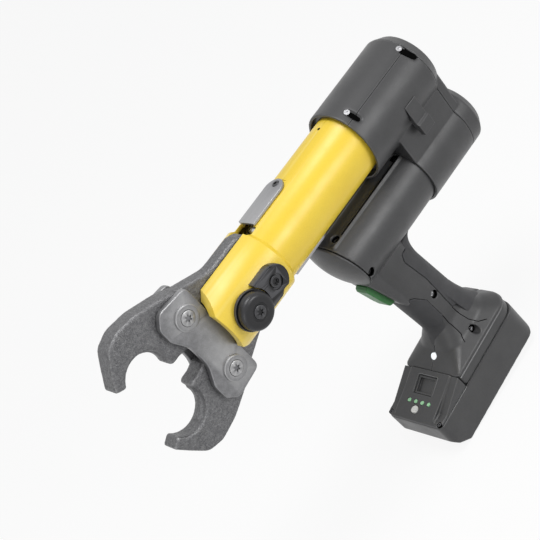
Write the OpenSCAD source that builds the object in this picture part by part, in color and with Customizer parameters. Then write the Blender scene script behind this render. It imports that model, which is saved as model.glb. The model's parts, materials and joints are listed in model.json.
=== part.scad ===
// Battery radial press tool with mounted press tongs.
// X runs forward along the press tube, Y to the tool's left, Z up.
// The origin is on the tube's axis, in the plane where the tube leaves the rear housing.

/* [Press tube and head] */
// Outer radius of the press tube
tube_r = 32.5; // [30:0.5:35]
// Radius of the bore through tube and head
tube_bore_r = 29; // [28:0.5:29]
// Step from the tube's wall out to the thicker fork head
head_step = 3.5; // [2.5:0.5:4.5]
// Where the thicker fork head starts
head_x = 131; // [129:1:133]
// Front face of the fork cheeks
head_front_x = 208; // [206:0.5:209]
// Rear end of the press tube inside the housing
tube_rear_x = -26; // [-26:1:-25]
// Half width of the slots that the jaw tails swing through
slot_half = 8.5; // [8.3:0.1:9]
// Half width of the open window behind the fork head
window_half = 12; // [10:0.5:13]
// Where the locking pin crosses the tube's axis
pin_x = 182.5; // [182:0.5:183]
// Diameter of the locking pin
pin_d = 14; // [13:0.5:14]

/* [Guard plates] */
// Rear end of a guard plate
guard_x = 67; // [66:1:70]
// Front end of a guard plate
guard_front_x = 119; // [117:1:121]
// Width of a guard plate
guard_w = 22; // [20:1:23]
// Thickness of a guard plate
guard_t = 2.8; // [2:0.2:3]

/* [Tongs] */
// Distance of each jaw pin from the tube's axis
jaw_pin_z = 34.3; // [34:0.1:35]
// Distance of the jaw pins along the tube's axis
jaw_pin_x = 222; // [221:0.5:223]
// Diameter of the jaw pins
jaw_pin_d = 16; // [14:0.5:16]
// Outside width across both side plates
plates_w = 33; // [33:0.1:33.2]
// Thickness of one side plate
plate_t = 6.3; // [6:0.1:6.3]
// Thickness of the jaws in front of the tube
jaw_t = 19.8; // [18:0.1:19.9]
// Thickness of the jaw tails inside the slots
tail_t = 15.6; // [14:0.1:16]
// Angle by which each jaw stands open at rest
jaw_open = 26.5; // [26:0.5:27]
// Radius of the press profile
press_r = 22; // [21:0.5:22.5]

/* [Ram and rollers] */
// Radius of a press roller
roller_r = 12.8; // [12:0.1:12.8]
// Distance of the roller axles from the tube's axis at rest
roller_x = 112; // [111:1:112]
// Full travel of the ram
ram_stroke = 47; // [45:1:47]
// Radius of the ram piston
piston_r = 21.9; // [21:0.1:21.95]
// Radius of the piston rod
rod_r = 9; // [8:0.5:10]

/* [Rear housing] */
// Distance from the press tube's wall to the outside of the upper lobe
lobe_gap = 6.8; // [6.5:0.1:7.1]
// Radius of the lower lobe round the motor's axis
lower_r = 36; // [36:0.5:37]
// Half width of the flat flanks between the lobes
flank_half = 31; // [30:0.5:32]
// Front rim of the lower lobe
lower_rim_x = -34.3; // [-35:0.1:-34]
// Joint between rear housing and rear cover
cover_x = -100; // [-101:1:-99]
// Rear end of the rear cover
rear_x = -122; // [-123:1:-120]
// Wall thickness of the plastic housings
wall = 2.8; // [2.6:0.1:3]

/* [Motor housing] */
// Distance of the motor's axis below the tube's axis
motor_z = 73; // [72.5:0.5:73.5]
// Radius of the motor housing
motor_r = 33; // [33:0.1:33]
// Front end of the motor housing, at the nose cap
barrel_front_x = 81; // [80:0.5:82]

/* [Motor and gears] */
// Teeth of the motor pinion
pinion_teeth = 15; // [15:1:15]
// Teeth of the drive gear
gear_teeth = 39; // [39:1:39]
// Gear module
gear_module = 1; // [1:0.1:1]
// Width of the gears
gear_w = 8; // [7:0.5:9]
// Radius of the motor can
can_r = 30.2; // [29:0.1:30.2]

/* [Handle] */
// Rake of the handle from the vertical
handle_rake = 9.4; // [9:0.1:10]
// Half width of the handle
handle_half = 19; // [18:0.5:19]
// Depth of the handle from front to back
handle_depth = 52; // [50:0.5:53]
// Position of the handle's axis at the motor's axis height
handle_x = 45.3; // [45:0.1:45.5]

/* [Foot and battery] */
// Tilt of the battery, nose down against the tube
battery_tilt = 4; // [4:0.5:4]
// Height of the joint between foot and battery, in the battery's own tilted frame
joint_z = -245; // [-245.5:0.5:-245]
// Underside of the battery in its own tilted frame
battery_base_z = -286; // [-287:0.5:-285]
// Rear end of foot and battery in the tilted frame
battery_rear_x = -7; // [-8:0.5:-6]
// Front end of the battery in the tilted frame
battery_front_x = 143; // [142:0.5:144]
// Front end of the foot in the tilted frame
foot_front_x = 92; // [91:0.5:92]
// Half width of the battery
battery_half = 38; // [37.5:0.5:38.5]

/* [Hidden] */
$fn = 64;
eps = 0.01;
fit = 0.05;
gap = 0.3;
big = 400;
yellow = [0.92, 0.80, 0.25];
plastic = [0.27, 0.27, 0.27];
soft_grip = [0.20, 0.20, 0.20];
forged = [0.43, 0.43, 0.43];
sheet_steel = [0.60, 0.60, 0.61];
bright_steel = [0.75, 0.75, 0.76];
black_part = [0.14, 0.14, 0.15];
green_part = [0.18, 0.48, 0.21];
upper_r = tube_r + lobe_gap;
head_r = tube_r + head_step;
plate_y = plates_w / 2;
plate_in_y = plate_y - plate_t;
gear_distance = gear_module * (pinion_teeth + gear_teeth) / 2;
shaft_z = -motor_z + gear_distance;
gear_x = -53;
block_front_x = -58;
block_rear_x = -94;
block_neck_r = 27;
cylinder_x = -22;
cylinder_front_x = 78;
cylinder_r = 27;
cylinder_bore_r = 22;
gland_x = 70;
piston_x = -18;
piston_l = 12;
carrier_x = 84;
carrier_r = 26;
roller_z = roller_r + 0.2;
axle_r = 4;
shaft_r = 3;
barrel_rear_x = -41;
barrel_in_r = motor_r - wall + 0.1;
foot_top_z = joint_z + 15;
foot_half = battery_half - 0.5;
knob_y = head_r + gap;

// Helpers

// A cylinder along X from x1 to x2, centred at height z.
module rod_x(x1, x2, r, z = 0, y = 0, fn = 64) {
    translate([x1, y, z])
        rotate([0, 90, 0])
            cylinder(r = r, h = x2 - x1, $fn = fn);
}

// A cone along X from x1 to x2.
module cone_x(x1, x2, r1, r2, z = 0) {
    translate([x1, 0, z])
        rotate([0, 90, 0])
            cylinder(r1 = r1, r2 = r2, h = x2 - x1);
}

// A ring along X.
module ring_x(x1, x2, r_out, r_in, z = 0) {
    difference() {
        rod_x(x1, x2, r_out, z);
        rod_x(x1 - 1, x2 + 1, r_in, z);
    }
}

// A cylinder along Y from y1 to y2.
module rod_y(y1, y2, r, x, z) {
    translate([x, y1, z])
        rotate([-90, 0, 0])
            cylinder(r = r, h = y2 - y1);
}

// A box given by its two corners.
module block(low, high) {
    translate(low)
        cube(high - low);
}

// A side view outline in X and Z, extruded along Y from y1 to y2.
module side_slab(y1, y2) {
    translate([0, y2, 0])
        rotate([90, 0, 0])
            linear_extrude(y2 - y1)
                children();
}

// Everything on the tool's left or right of the middle plane.
module half_space(left) {
    translate([-big / 2, left ? eps / 2 : -big - eps / 2, -big])
        cube([2 * big, big, 2 * big]);
}

// The battery's own frame, tilted nose down about the origin.
module battery_frame() {
    rotate([0, battery_tilt, 0])
        children();
}

// The handle's own frame: Z along the handle, origin on its axis at the motor's height.
module handle_frame() {
    translate([handle_x, 0, -motor_z])
        rotate([0, handle_rake, 0])
            children();
}

// A rounded rectangle from x1 to x2 and half as wide as half, with corner radii.
module round_plan(x1, x2, half, r_rear, r_front) {
    union() {
        for (s = [-1, 1]) {
            translate([x1 + r_rear, s * (half - r_rear)])
                circle(r_rear);
            translate([x2 - r_front, s * (half - r_front)])
                circle(r_front);
        }
        translate([x1 + r_rear, -half])
            square([x2 - x1 - r_rear - r_front, 2 * half]);
        translate([x1, -(half - r_rear)])
            square([r_rear + 1, 2 * (half - r_rear)]);
        translate([x2 - r_front - 1, -(half - r_front)])
            square([r_front + 1, 2 * (half - r_front)]);
    }
}

// A polygon with its corners rounded; each point is [x, y, radius].
function rounded(p) = [
    for (i = [0:len(p) - 1])
        let (c = [p[i][0], p[i][1]])
        let (q = p[(i + len(p) - 1) % len(p)])
        let (n = p[(i + 1) % len(p)])
        let (a = [q[0], q[1]] - c)
        let (b = [n[0], n[1]] - c)
        let (ua = a / norm(a))
        let (ub = b / norm(b))
        let (half = acos(max(-1, min(1, ua * ub))) / 2)
        let (t = min(p[i][2] / tan(half), 0.48 * min(norm(a), norm(b))))
        let (k = p[i][2] > 0 && half < 88 ? 4 : 0)
        for (j = [0:k])
            let (u = k == 0 ? 0 : j / k)
            k == 0 ? c : c + (1 - u) * (1 - u) * t * ua + u * u * t * ub
];

// A screw along -Z with a rounded pan head on top and a socket in it.
module pan_screw(head_r, head_h, r, l) {
    difference() {
        union() {
            cylinder(r = head_r, h = head_h, $fn = 32);
            translate([0, 0, -l])
                cylinder(r = r, h = l + eps, $fn = 32);
        }
        translate([0, 0, head_h - 0.8])
            cylinder(r = head_r * 0.5, h = 1, $fn = 6);
    }
}

// Press tube and head

module cheek_corner() {
    side_slab(-big / 8, big / 8)
        polygon([
            [head_front_x + 1, 19], [head_front_x, 20], [190.5, 38], [190.5, 60],
            [head_front_x + 1, 60]
        ]);
}

module press_tube() {
    color(yellow)
        difference() {
            union() {
                rod_x(tube_rear_x, head_x - 4, tube_r, fn = 96);
                rod_x(tube_rear_x, tube_rear_x + 4, tube_r + 2.5, fn = 96);
                cone_x(head_x - 4, head_x, tube_r, head_r);
                rod_x(head_x, head_front_x, head_r, fn = 96);
            }
            rod_x(tube_rear_x - 1, head_front_x + 1, tube_bore_r, fn = 96);
            for (s = [0, 180])
                rotate([s, 0, 0]) {
                    block([guard_x + 17, -slot_half, 20], [head_front_x + 2, slot_half, 40]);
                    block([guard_front_x, -window_half, 20], [head_x, window_half, 40]);
                    block([guard_x - 0.5, -guard_w / 2 - 2, tube_r - 1], [guard_front_x, guard_w / 2 + 2, 40]);
                    cheek_corner();
                    translate([guard_x + 6, 0, 20])
                        cylinder(r = 1.95, h = 20, $fn = 32);
                }
            rod_y(-50, 50, pin_d / 2 + fit, pin_x, 0);
            translate([6, 0, 20])
                cylinder(r = 1, h = 20, $fn = 24);
        }
}

module guard_plate() {
    z1 = tube_r - 1 + eps;
    difference() {
        union() {
            translate([guard_x + guard_w / 2, 0, z1])
                cylinder(r = guard_w / 2, h = guard_t);
            block([guard_x + guard_w / 2, -guard_w / 2, z1], [guard_front_x - 0.2, guard_w / 2, z1 + guard_t]);
        }
        translate([guard_x + 6, 0, z1 - 1])
            cylinder(r = 2.3, h = 10, $fn = 32);
        translate([guard_x + 6, 0, z1 + guard_t - 1.4])
            cylinder(r = 3.6, h = 10, $fn = 32);
    }
}

module guard_plate_upper() {
    color(sheet_steel)
        guard_plate();
}

module guard_plate_lower() {
    color(sheet_steel)
        rotate([180, 0, 0])
            guard_plate();
}

module guard_screws() {
    color(bright_steel)
        for (s = [0, 180])
            rotate([s, 0, 0])
                translate([guard_x + 6, 0, tube_r - 1 + guard_t - 1.35])
                    pan_screw(3.3, 1.2, 1.9, 3.4);
}

// Catch beside the locking pin

bracket_x = 150.5;
bracket_r = 15.2;
bracket_top_y = head_r + 5;

module catch_bracket() {
    color(black_part)
        difference() {
            union() {
                rod_y(head_r - 9, bracket_top_y - 1.5, bracket_r, bracket_x, 0);
                rod_y(head_r - 9, bracket_top_y, bracket_r - 1.5, bracket_x, 0);
                block([bracket_x, head_r - 9, -bracket_r], [168, bracket_top_y - 1.5, bracket_r]);
                block([bracket_x, head_r - 9, -bracket_r + 1.5], [168, bracket_top_y, bracket_r - 1.5]);
            }
            rod_x(100, 200, head_r + 0.02, fn = 96);
            rod_y(0, 60, 19.4, pin_x, 0);
            rod_y(0, 60, 5.6, bracket_x, 0);
        }
}

module catch_button() {
    color(black_part)
        difference() {
            union() {
                rod_y(head_r + 2.6, bracket_top_y - 1, 5.5, bracket_x, 0);
                rod_y(head_r + 2.6, bracket_top_y - 0.2, 4, bracket_x, 0);
            }
            rod_y(bracket_top_y - 1.6, 60, 2, bracket_x, 0);
        }
}

module locking_pin() {
    color(bright_steel)
        union() {
            rod_y(-head_r - 2, knob_y, pin_d / 2 - 0.02, pin_x, 0);
            translate([pin_x, -head_r - 2, 0])
                rotate([90, 0, 0])
                    cylinder(r1 = pin_d / 2 - 0.02, r2 = pin_d / 2 - 2, h = 2);
        }
}

module pin_knob() {
    color(black_part)
        translate([pin_x, knob_y, 0])
            rotate([-90, 0, 0])
                difference() {
                    rotate_extrude($fn = 96)
                        union() {
                            square([18.5, 3.2]);
                            translate([0, 3.2])
                                square([17, 4.6]);
                            translate([0, 7.7])
                                square([15.2, 5.3]);
                            translate([15.2, 7.8])
                                intersection() {
                                    circle(1.8, $fn = 24);
                                    square([1.8, 1.8]);
                                }
                        }
                    translate([0, 0, 12])
                        cylinder(r = 6.3, h = 2);
                    translate([0, 0, 5])
                        cylinder(r = 2.6, h = 9, $fn = 32);
                }
}

module knob_screw() {
    color(bright_steel)
        translate([pin_x, knob_y + 12.02, 0])
            rotate([-90, 0, 0])
                difference() {
                    union() {
                        cylinder(r = 6.1, h = 1.2, $fn = 48);
                        translate([0, 0, -6.9])
                            cylinder(r = 2.5, h = 7, $fn = 32);
                    }
                    for (a = [0, 90])
                        rotate([0, 0, a])
                            translate([-2.4, -0.45, 0.3])
                                cube([4.8, 0.9, 2]);
                }
}

// Press tongs

// Side view of one side plate: a cross piece that carries both pins and a tang with the pin hole.
module tong_outline() {
    difference() {
        polygon(rounded([
            [168, -20, 2], [204.5, -20, 3], [204.5, -53.5, 7], [237, -57, 9],
            [246.5, -46, 9], [246.5, -31, 10], [237.4, -12, 30], [237.4, 12, 30],
            [246.5, 31, 10], [246.5, 46, 9], [237, 57, 9], [204.5, 53.5, 7],
            [204.5, 20, 3], [168, 20, 2]
        ]));
        translate([pin_x, 0])
            circle(pin_d / 2 + fit);
        for (s = [-1, 1])
            translate([jaw_pin_x, s * jaw_pin_z])
                circle(jaw_pin_d / 2 + 0.02);
    }
}

module tong_plate_left() {
    color(sheet_steel)
        side_slab(plate_in_y, plate_y)
            tong_outline();
}

module tong_plate_right() {
    color(sheet_steel)
        side_slab(-plate_y, -plate_in_y)
            tong_outline();
}

pin_head_r = 12;
pin_head_t = 2.6;

module jaw_pins() {
    color(bright_steel)
        for (s = [-1, 1])
            difference() {
                union() {
                    rod_y(-plate_y - pin_head_t, plate_y + pin_head_t, jaw_pin_d / 2, jaw_pin_x, s * jaw_pin_z);
                    for (t = [-1, 1])
                        rod_y(
                            t > 0 ? plate_y : -plate_y - pin_head_t,
                            t > 0 ? plate_y + pin_head_t : -plate_y,
                            pin_head_r, jaw_pin_x, s * jaw_pin_z
                        );
                }
                for (t = [-1, 1]) {
                    rod_y(t > 0 ? plate_y + 1.6 : -plate_y - 3, t > 0 ? plate_y + 3 : -plate_y - 1.6, 7.1,
                        jaw_pin_x, s * jaw_pin_z);
                    rod_y(t > 0 ? 5 : -plate_y - 2, t > 0 ? plate_y + 2 : -5, 3.1, jaw_pin_x, s * jaw_pin_z);
                }
            }
}

module jaw_pin_screws() {
    color(bright_steel)
        for (s = [-1, 1], t = [0, 180])
            translate([jaw_pin_x, 0, s * jaw_pin_z])
                rotate([0, 0, t])
                    rotate([-90, 0, 0])
                        difference() {
                            union() {
                                translate([0, 0, plate_y + 1.62])
                                    cylinder(r = 6.9, h = 1.4, $fn = 48);
                                translate([0, 0, 8])
                                    cylinder(r = 3, h = plate_y - 6, $fn = 32);
                            }
                            for (a = [0, 90])
                                rotate([0, 0, a])
                                    translate([-3, -0.55, plate_y + 2])
                                        cube([6, 1.1, 2]);
                        }
}

// Turns a side view point about the jaw pin into the frame of the open jaw.
function about_pin(p, a) = [
    jaw_pin_x + (p[0] - jaw_pin_x) * cos(a) - (p[1] - jaw_pin_z) * sin(a),
    jaw_pin_z + (p[0] - jaw_pin_x) * sin(a) + (p[1] - jaw_pin_z) * cos(a)
];

// Where a roller centre lies in the open jaw's own frame after the share t of the travel.
function roller_in_jaw(t) = about_pin([roller_x + ram_stroke * t, roller_z], jaw_open * t);

// The cam flank that keeps clear of the roller over the whole travel.
cam_gap = 0.35;
cam_steps = 6;
cam_first = 0.12;
cam_flank = [
    for (i = [0:cam_steps])
        let (t = cam_first + (0.985 - cam_first) * i / cam_steps)
        let (d = roller_in_jaw(t + 0.01) - roller_in_jaw(t - 0.01))
        let (n = [-d[1], d[0]] / norm(d))
        roller_in_jaw(t) + n * (roller_r + cam_gap)
];

// Side view of the upper jaw in its open rest position.
press_at = about_pin([268, 0], jaw_open);
close_gap = 0.15;
jaw_back = rounded([
    [127.5, 27, 1], [131, 34, 4], [140, 38.2, 10], [175, 38.5, 30], [204, 51, 30], [223, 60.5, 30],
    [250, 71, 30], [272, 74.6, 20], [288, 70, 14], [299, 54, 20], [309.5, 37.5, 2.5],
    [308, 20, 0], [275, 5, 0], [262, 12.6, 0], [247.5, 12.5, 4], [238, 10, 4], [205, 9.5, 6],
    [177, 9.5, 2], [174.6, 5.5, 2]
]);
module jaw_outline() {
    difference() {
        polygon(concat(jaw_back, [for (i = [cam_steps:-1:0]) cam_flank[i]]));
        translate(press_at)
            circle(press_r, $fn = 96);
        translate([jaw_pin_x, jaw_pin_z])
            circle(jaw_pin_d / 2 + fit);
        translate([jaw_pin_x, jaw_pin_z])
            rotate(jaw_open)
                translate([10, -jaw_pin_z - 60 + close_gap])
                    square([100, 60]);
    }
}

// The raised rib inside the press profile.
module press_rib() {
    difference() {
        intersection() {
            translate(press_at)
                circle(press_r + 1, $fn = 96);
            translate(press_at)
                rotate(jaw_open)
                    polygon([[-30, 30], [-30, 4], [0, 4], [8, 30]]);
        }
        translate(press_at)
            circle(press_r - 2.4, $fn = 96);
    }
}

module jaw_solid() {
    union() {
        intersection() {
            side_slab(-jaw_t / 2, jaw_t / 2)
                jaw_outline();
            block([212, -20, -10], [320, 20, 90]);
        }
        intersection() {
            side_slab(-tail_t / 2, tail_t / 2)
                jaw_outline();
            block([100, -20, -10], [212 + eps, 20, 90]);
        }
        side_slab(-4, 4)
            press_rib();
    }
}

module jaw_upper() {
    color(forged)
        jaw_solid();
}

module jaw_lower() {
    color(forged)
        mirror([0, 0, 1])
            jaw_solid();
}

// Ram, rollers and cylinder

module roller_carrier() {
    color(forged)
        difference() {
            union() {
                rod_x(carrier_x, carrier_x + 13, carrier_r);
                for (s = [-1, 1])
                    intersection() {
                        rod_x(carrier_x, roller_x + 8, carrier_r - 0.5);
                        block([carrier_x, s > 0 ? 8 : -20, -20], [roller_x + 7, s > 0 ? 20 : -8, 20]);
                    }
            }
            rod_x(carrier_x - 1, carrier_x + 10, rod_r + 0.02);
            for (s = [-1, 1])
                rod_y(-30, 30, axle_r + 0.02, roller_x, s * roller_z);
        }
}

module roller_axles() {
    color(bright_steel)
        for (s = [-1, 1])
            rod_y(-18, 18, axle_r, roller_x, s * roller_z);
}

module roller(s) {
    color(bright_steel)
        difference() {
            rod_y(-7.6, 7.6, roller_r, roller_x, s * roller_z);
            rod_y(-10, 10, axle_r + fit, roller_x, s * roller_z);
        }
}

module roller_upper() {
    roller(1);
}

module roller_lower() {
    roller(-1);
}

module ram_piston() {
    color(bright_steel)
        union() {
            rod_x(piston_x, piston_x + piston_l, piston_r);
            rod_x(piston_x + piston_l - 1, carrier_x + 9.9, rod_r);
        }
}

spring_turns = 6;
spring_r = 16;
spring_wire = 1.8;
spring_x = piston_x + piston_l + spring_wire + 0.2;
spring_l = gland_x - spring_x - spring_wire - 0.2;

// A wound wire as one swept tube of six sides.
module return_spring() {
    sides = 6;
    rings = spring_turns * 8;
    points = [
        for (i = [0:rings], j = [0:sides - 1])
            let (a = 360 * spring_turns * i / rings)
            let (r = spring_r + spring_wire * cos(360 * j / sides))
            [spring_x + spring_l * i / rings + spring_wire * sin(360 * j / sides), r * cos(a), r * sin(a)]
    ];
    faces = concat(
        [[for (j = [0:sides - 1]) j]],
        [[for (j = [sides - 1:-1:0]) rings * sides + j]],
        [
            for (i = [0:rings - 1], j = [0:sides - 1], k = [0, 1])
                let (a = i * sides + j)
                let (b = i * sides + (j + 1) % sides)
                k == 0 ? [b, a, a + sides] : [b, a + sides, b + sides]
        ]
    );
    color(bright_steel)
        polyhedron(points = points, faces = faces, convexity = 10);
}

module ram_cylinder() {
    color(bright_steel)
        ring_x(cylinder_x, cylinder_front_x, cylinder_r, cylinder_bore_r);
}

module cylinder_gland() {
    color(black_part)
        ring_x(gland_x, cylinder_front_x, cylinder_bore_r - 0.05, rod_r + fit);
}

module swivel_bush() {
    color([0.72, 0.55, 0.28])
        ring_x(tube_rear_x + 4.2, -13, upper_r - wall - 0.1, tube_r + fit);
}

module collar_ring() {
    color(black_part)
        ring_x(-12.8, -7.4, upper_r - wall - 0.1, tube_r + gap);
}

// Rear housing

// Everything in front of the leaning rim of the upper lobe.
module rim_cut() {
    translate([-1.75, 0, 0])
        rotate([0, rim_lean, 0])
            block([0, -60, -60], [60, 60, 60]);
}

rim_lean = -4.7;

// The outer shape between two planes along X, moved inwards by t.
module rear_shape(x1, x2, t) {
    union() {
        rod_x(x1, x2, upper_r - t, fn = 96);
        rod_x(x1, min(x2, lower_rim_x), lower_r - t, -motor_z, fn = 96);
        block([x1, -flank_half + t, -motor_z], [min(x2, lower_rim_x), flank_half - t, 0]);
    }
}

module rear_shell() {
    difference() {
        rear_shape(cover_x + 0.05, 1.6, 0);
        rear_shape(cover_x - 1, lower_rim_x - wall, wall);
        rod_x(cover_x - 1, 2, upper_r - wall, fn = 96);
        rod_x(barrel_rear_x - 5, 0, motor_r + 0.1, -motor_z, fn = 96);
        rim_cut();
    }
}

module top_wedge(t) {
    translate([cover_x - 1, 0, 0])
        rotate([90, 0, 90])
            linear_extrude(110)
                polygon([[0, t * 1.414], [70, 70 + t * 1.414], [-70, 70 + t * 1.414]]);
}

// Screws of the top cover: front pair and rear pair.
cover_screw_spots = [[-15, 57], [-96, 52]];

module at_cover_screws() {
    for (p = cover_screw_spots, s = [-1, 1])
        rotate([s * (p[1] - 90), 0, 0])
            translate([p[0], 0, upper_r])
                children();
}

module cover_screw_holes() {
    at_cover_screws() {
        translate([0, 0, -6])
            cylinder(r = 1.4, h = 20, $fn = 32);
        translate([0, 0, -1.6])
            cylinder(r = 3, h = 20, $fn = 32);
    }
}

module cover_screws() {
    color(bright_steel)
        at_cover_screws()
            translate([0, 0, -1.6])
                pan_screw(2.8, 1.2, 1.35, 1);
}

slider_x = -61.5;
slider_z = -13;

slider_half = 7.9;
slider_slot_half = 7.2;
slider_travel = 3.5;
slider_plate_y = upper_r + 0.8;
slider_lip_y = upper_r + 2.7;

module slider_slot() {
    block([slider_x - slider_slot_half, 30, slider_z - 7], [slider_x + slider_slot_half, 50, slider_z + 7]);
}

// A flat plate against the lobe with a raised lip at its lower end, and a tongue through the slot.
module release_slider() {
    tongue_half = slider_slot_half - slider_travel;
    color(plastic)
        union() {
            block(
                [slider_x - tongue_half, upper_r - wall + 0.3, slider_z - 6.8],
                [slider_x + tongue_half, upper_r - 1, slider_z + 6.8]
            );
            difference() {
                translate([slider_x - slider_half, 0, slider_z])
                    rotate([90, 0, 90])
                        linear_extrude(2 * slider_half)
                            polygon([
                                [slider_plate_y - 5.4, 10.5], [slider_plate_y, 10.5],
                                [slider_plate_y, -10.5], [slider_lip_y, -12.1],
                                [slider_lip_y, -24], [slider_lip_y - 5.4, -24],
                                [slider_plate_y - 5.4, -13]
                            ]);
                rod_x(-90, -30, upper_r + 0.3, fn = 96);
            }
        }
}

module rear_housing(left) {
    color(plastic)
        intersection() {
            difference() {
                rear_shell();
                top_wedge(-0.05);
                if (left)
                    slider_slot();
            }
            half_space(left);
        }
}

module rear_housing_left() {
    rear_housing(true);
}

module rear_housing_right() {
    rear_housing(false);
}

module top_cover() {
    color(plastic)
        intersection() {
            difference() {
                rod_x(cover_x + 0.05, 1.6, upper_r, fn = 96);
                rod_x(cover_x - 1, 2, upper_r - wall, fn = 96);
                rim_cut();
                cover_screw_holes();
            }
            top_wedge(0.05);
        }
}

module rear_cover() {
    color(plastic)
        difference() {
            union() {
                cone_x(cover_x - 10.5, cover_x - 0.05, upper_r - 6.3, upper_r - 0.2);
                cone_x(cover_x - 14, cover_x - 10.5, upper_r - 15, upper_r - 6.3);
                rod_x(cover_x - 14, cover_x - 0.05, lower_r, -motor_z, fn = 96);
                cone_x(rear_x, cover_x - 14, lower_r - 6.5, lower_r, -motor_z);
                block([cover_x - 9, -flank_half, -motor_z], [cover_x - 0.05, flank_half, 0]);
                block([cover_x - 15, -flank_half + 8, -motor_z], [cover_x - 8, flank_half - 8, -10]);
            }
            rod_x(cover_x - 10, cover_x + 1, upper_r - 9, fn = 96);
            rod_x(cover_x - 16, cover_x + 1, lower_r - 6.5, -motor_z, fn = 96);
            block([cover_x - 10, -flank_half + 10, -motor_z], [cover_x + 1, flank_half - 10, 0]);
        }
}

// Motor housing with handle and foot

handle_top = -14;
handle_end = -131;

// The handle's plan outline, moved inwards by t.
module handle_plan(t) {
    reach = handle_depth / 2 - handle_half;
    union() {
        for (s = [-1, 1])
            translate([s * reach, 0])
                circle(handle_half - t);
        translate([-reach, -handle_half + t])
            square([2 * reach, 2 * (handle_half - t)]);
    }
}

module handle_solid(t, low = handle_end) {
    handle_frame()
        translate([0, 0, low])
            linear_extrude(handle_top - low)
                handle_plan(t);
}

// The guard round the trigger, between the barrel and the handle's front.
module trigger_guard(t) {
    side_slab(-14 + t, 14 - t)
        polygon([
            [40, -90], [80 - t, -90], [80 - t, -97 + t], [74.5 - t, -104], [61 - t, -146],
            [56 - t, -156], [40, -156]
        ]);
}

// The widening from the handle down to the foot, in the battery's frame.
module foot_flare(t) {
    battery_frame() {
        hull() {
            translate([0, 0, foot_top_z + 27])
                linear_extrude(1)
                    round_plan(14 + t, 62 - t, 19.5 - t, 18 - t, 18 - t, $fn = 32);
            translate([0, 0, foot_top_z + 9])
                linear_extrude(1)
                    round_plan(4 + t, 74 - t, 27 - t, 20 - t, 16 - t, $fn = 32);
        }
        hull() {
            translate([0, 0, foot_top_z + 9])
                linear_extrude(1)
                    round_plan(4 + t, 74 - t, 27 - t, 20 - t, 16 - t, $fn = 32);
            translate([0, 0, foot_top_z - 1])
                linear_extrude(1)
                    round_plan(battery_rear_x + t, foot_front_x - t, foot_half - t, 20 - t, 5 - t, $fn = 32);
        }
    }
}

module foot_base(t, bottom) {
    battery_frame()
        translate([0, 0, bottom])
            linear_extrude(foot_top_z - bottom - t)
                round_plan(battery_rear_x + t, foot_front_x - t, foot_half - t, 20 - t, 5 - t);
}

// Screws that enter from the left: [x, z, Y of the head's seat, inner and outer end of the boss].
flank_screw_spots = [
    [71, -84, 24, 21.5, motor_r - 2.5],
    [29.5, -169.5, 13, 0.2, handle_half - 2.5],
    [25.5, -226, 13, 0.2, handle_half - 2.5]
];
well_r = 4.2;
head_of_screw_r = 2.7;
boss_r = well_r + 1.2;
// Screws in the top pad: [x, y].
pad_screw_spots = [[-29, 13], [69.5, 13]];
pad_z = -43;
pad_half = 18.5;
pad_seat_z = -47;

// The nose leans like the handle: a dome that ends the barrel, and a parting plane behind its edge.
dome_r = 76.4;
dome_front = 4.5;
cap_rim = 2.4;
cap_groove = 0.9;
cap_r = motor_r - 0.5;
cap_joint = dome_front - dome_r + sqrt(dome_r * dome_r - motor_r * motor_r) - cap_rim;

module nose_frame() {
    translate([barrel_front_x + 1.5, 0, -motor_z])
        rotate([0, handle_rake, 0])
            children();
}

module nose_dome() {
    nose_frame()
        translate([dome_front - dome_r, 0, 0])
            sphere(dome_r, $fn = 128);
}

// Everything in front of the cap's parting plane, moved forward by t.
module ahead_of_joint(t) {
    nose_frame()
        block([cap_joint + t, -50, -50], [cap_joint + t + 40, 50, 50]);
}

// A round bar through the nose, kept in front of the parting plane.
module cap_bar(r, t) {
    intersection() {
        rod_x(barrel_front_x - 20, barrel_front_x + 20, r, -motor_z, fn = 96);
        ahead_of_joint(t);
    }
}

module motor_outer() {
    union() {
        difference() {
            rod_x(barrel_rear_x, barrel_front_x + 12, motor_r, -motor_z, fn = 96);
            ahead_of_joint(0);
        }
        block([lower_rim_x + 0.2, -pad_half, -motor_z], [barrel_front_x - 2, pad_half, pad_z]);
        for (s = [-1, 1])
            block([lower_rim_x + 0.2, s * 9 - 1.5, pad_z - 1], [barrel_front_x - 14, s * 9 + 1.5, pad_z + 1.6]);
        handle_solid(0, handle_end - 10);
        difference() {
            trigger_guard(0);
            cap_bar(cap_r + 0.15, 0);
        }
        foot_flare(0);
        foot_base(0, joint_z + 0.1);
    }
}

module motor_inner() {
    union() {
        rod_x(barrel_rear_x - 1, barrel_front_x + 14, barrel_in_r, -motor_z, fn = 96);
        handle_solid(wall + 2);
        trigger_guard(wall);
        foot_base(wall, joint_z - 1);
        trigger_window();
        lamp_hole();
    }
}

rail_half = 24;
rail_z = joint_z + 1;
rail_t = 3;

// Rails inside the foot that the battery's grooves slide onto.
module foot_rails() {
    battery_frame()
        for (s = [-1, 1])
            block(
                [10, s > 0 ? rail_half - 2.6 : -foot_half + 1, rail_z + 0.15],
                [foot_front_x - wall, s > 0 ? foot_half - 1 : -rail_half + 2.6, rail_z + rail_t - 0.15]
            );
}

// Screw bosses on the left, and their mates on the right.
module bosses(left) {
    for (p = flank_screw_spots)
        if (left || p[3] < 1)
            rod_y(left ? p[3] : -18, left ? p[4] : -p[3], boss_r, p[0], p[1]);
    for (p = pad_screw_spots)
        translate([p[0], p[1], -50])
            cylinder(r = 5, h = 6.5, $fn = 32);
}

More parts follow.
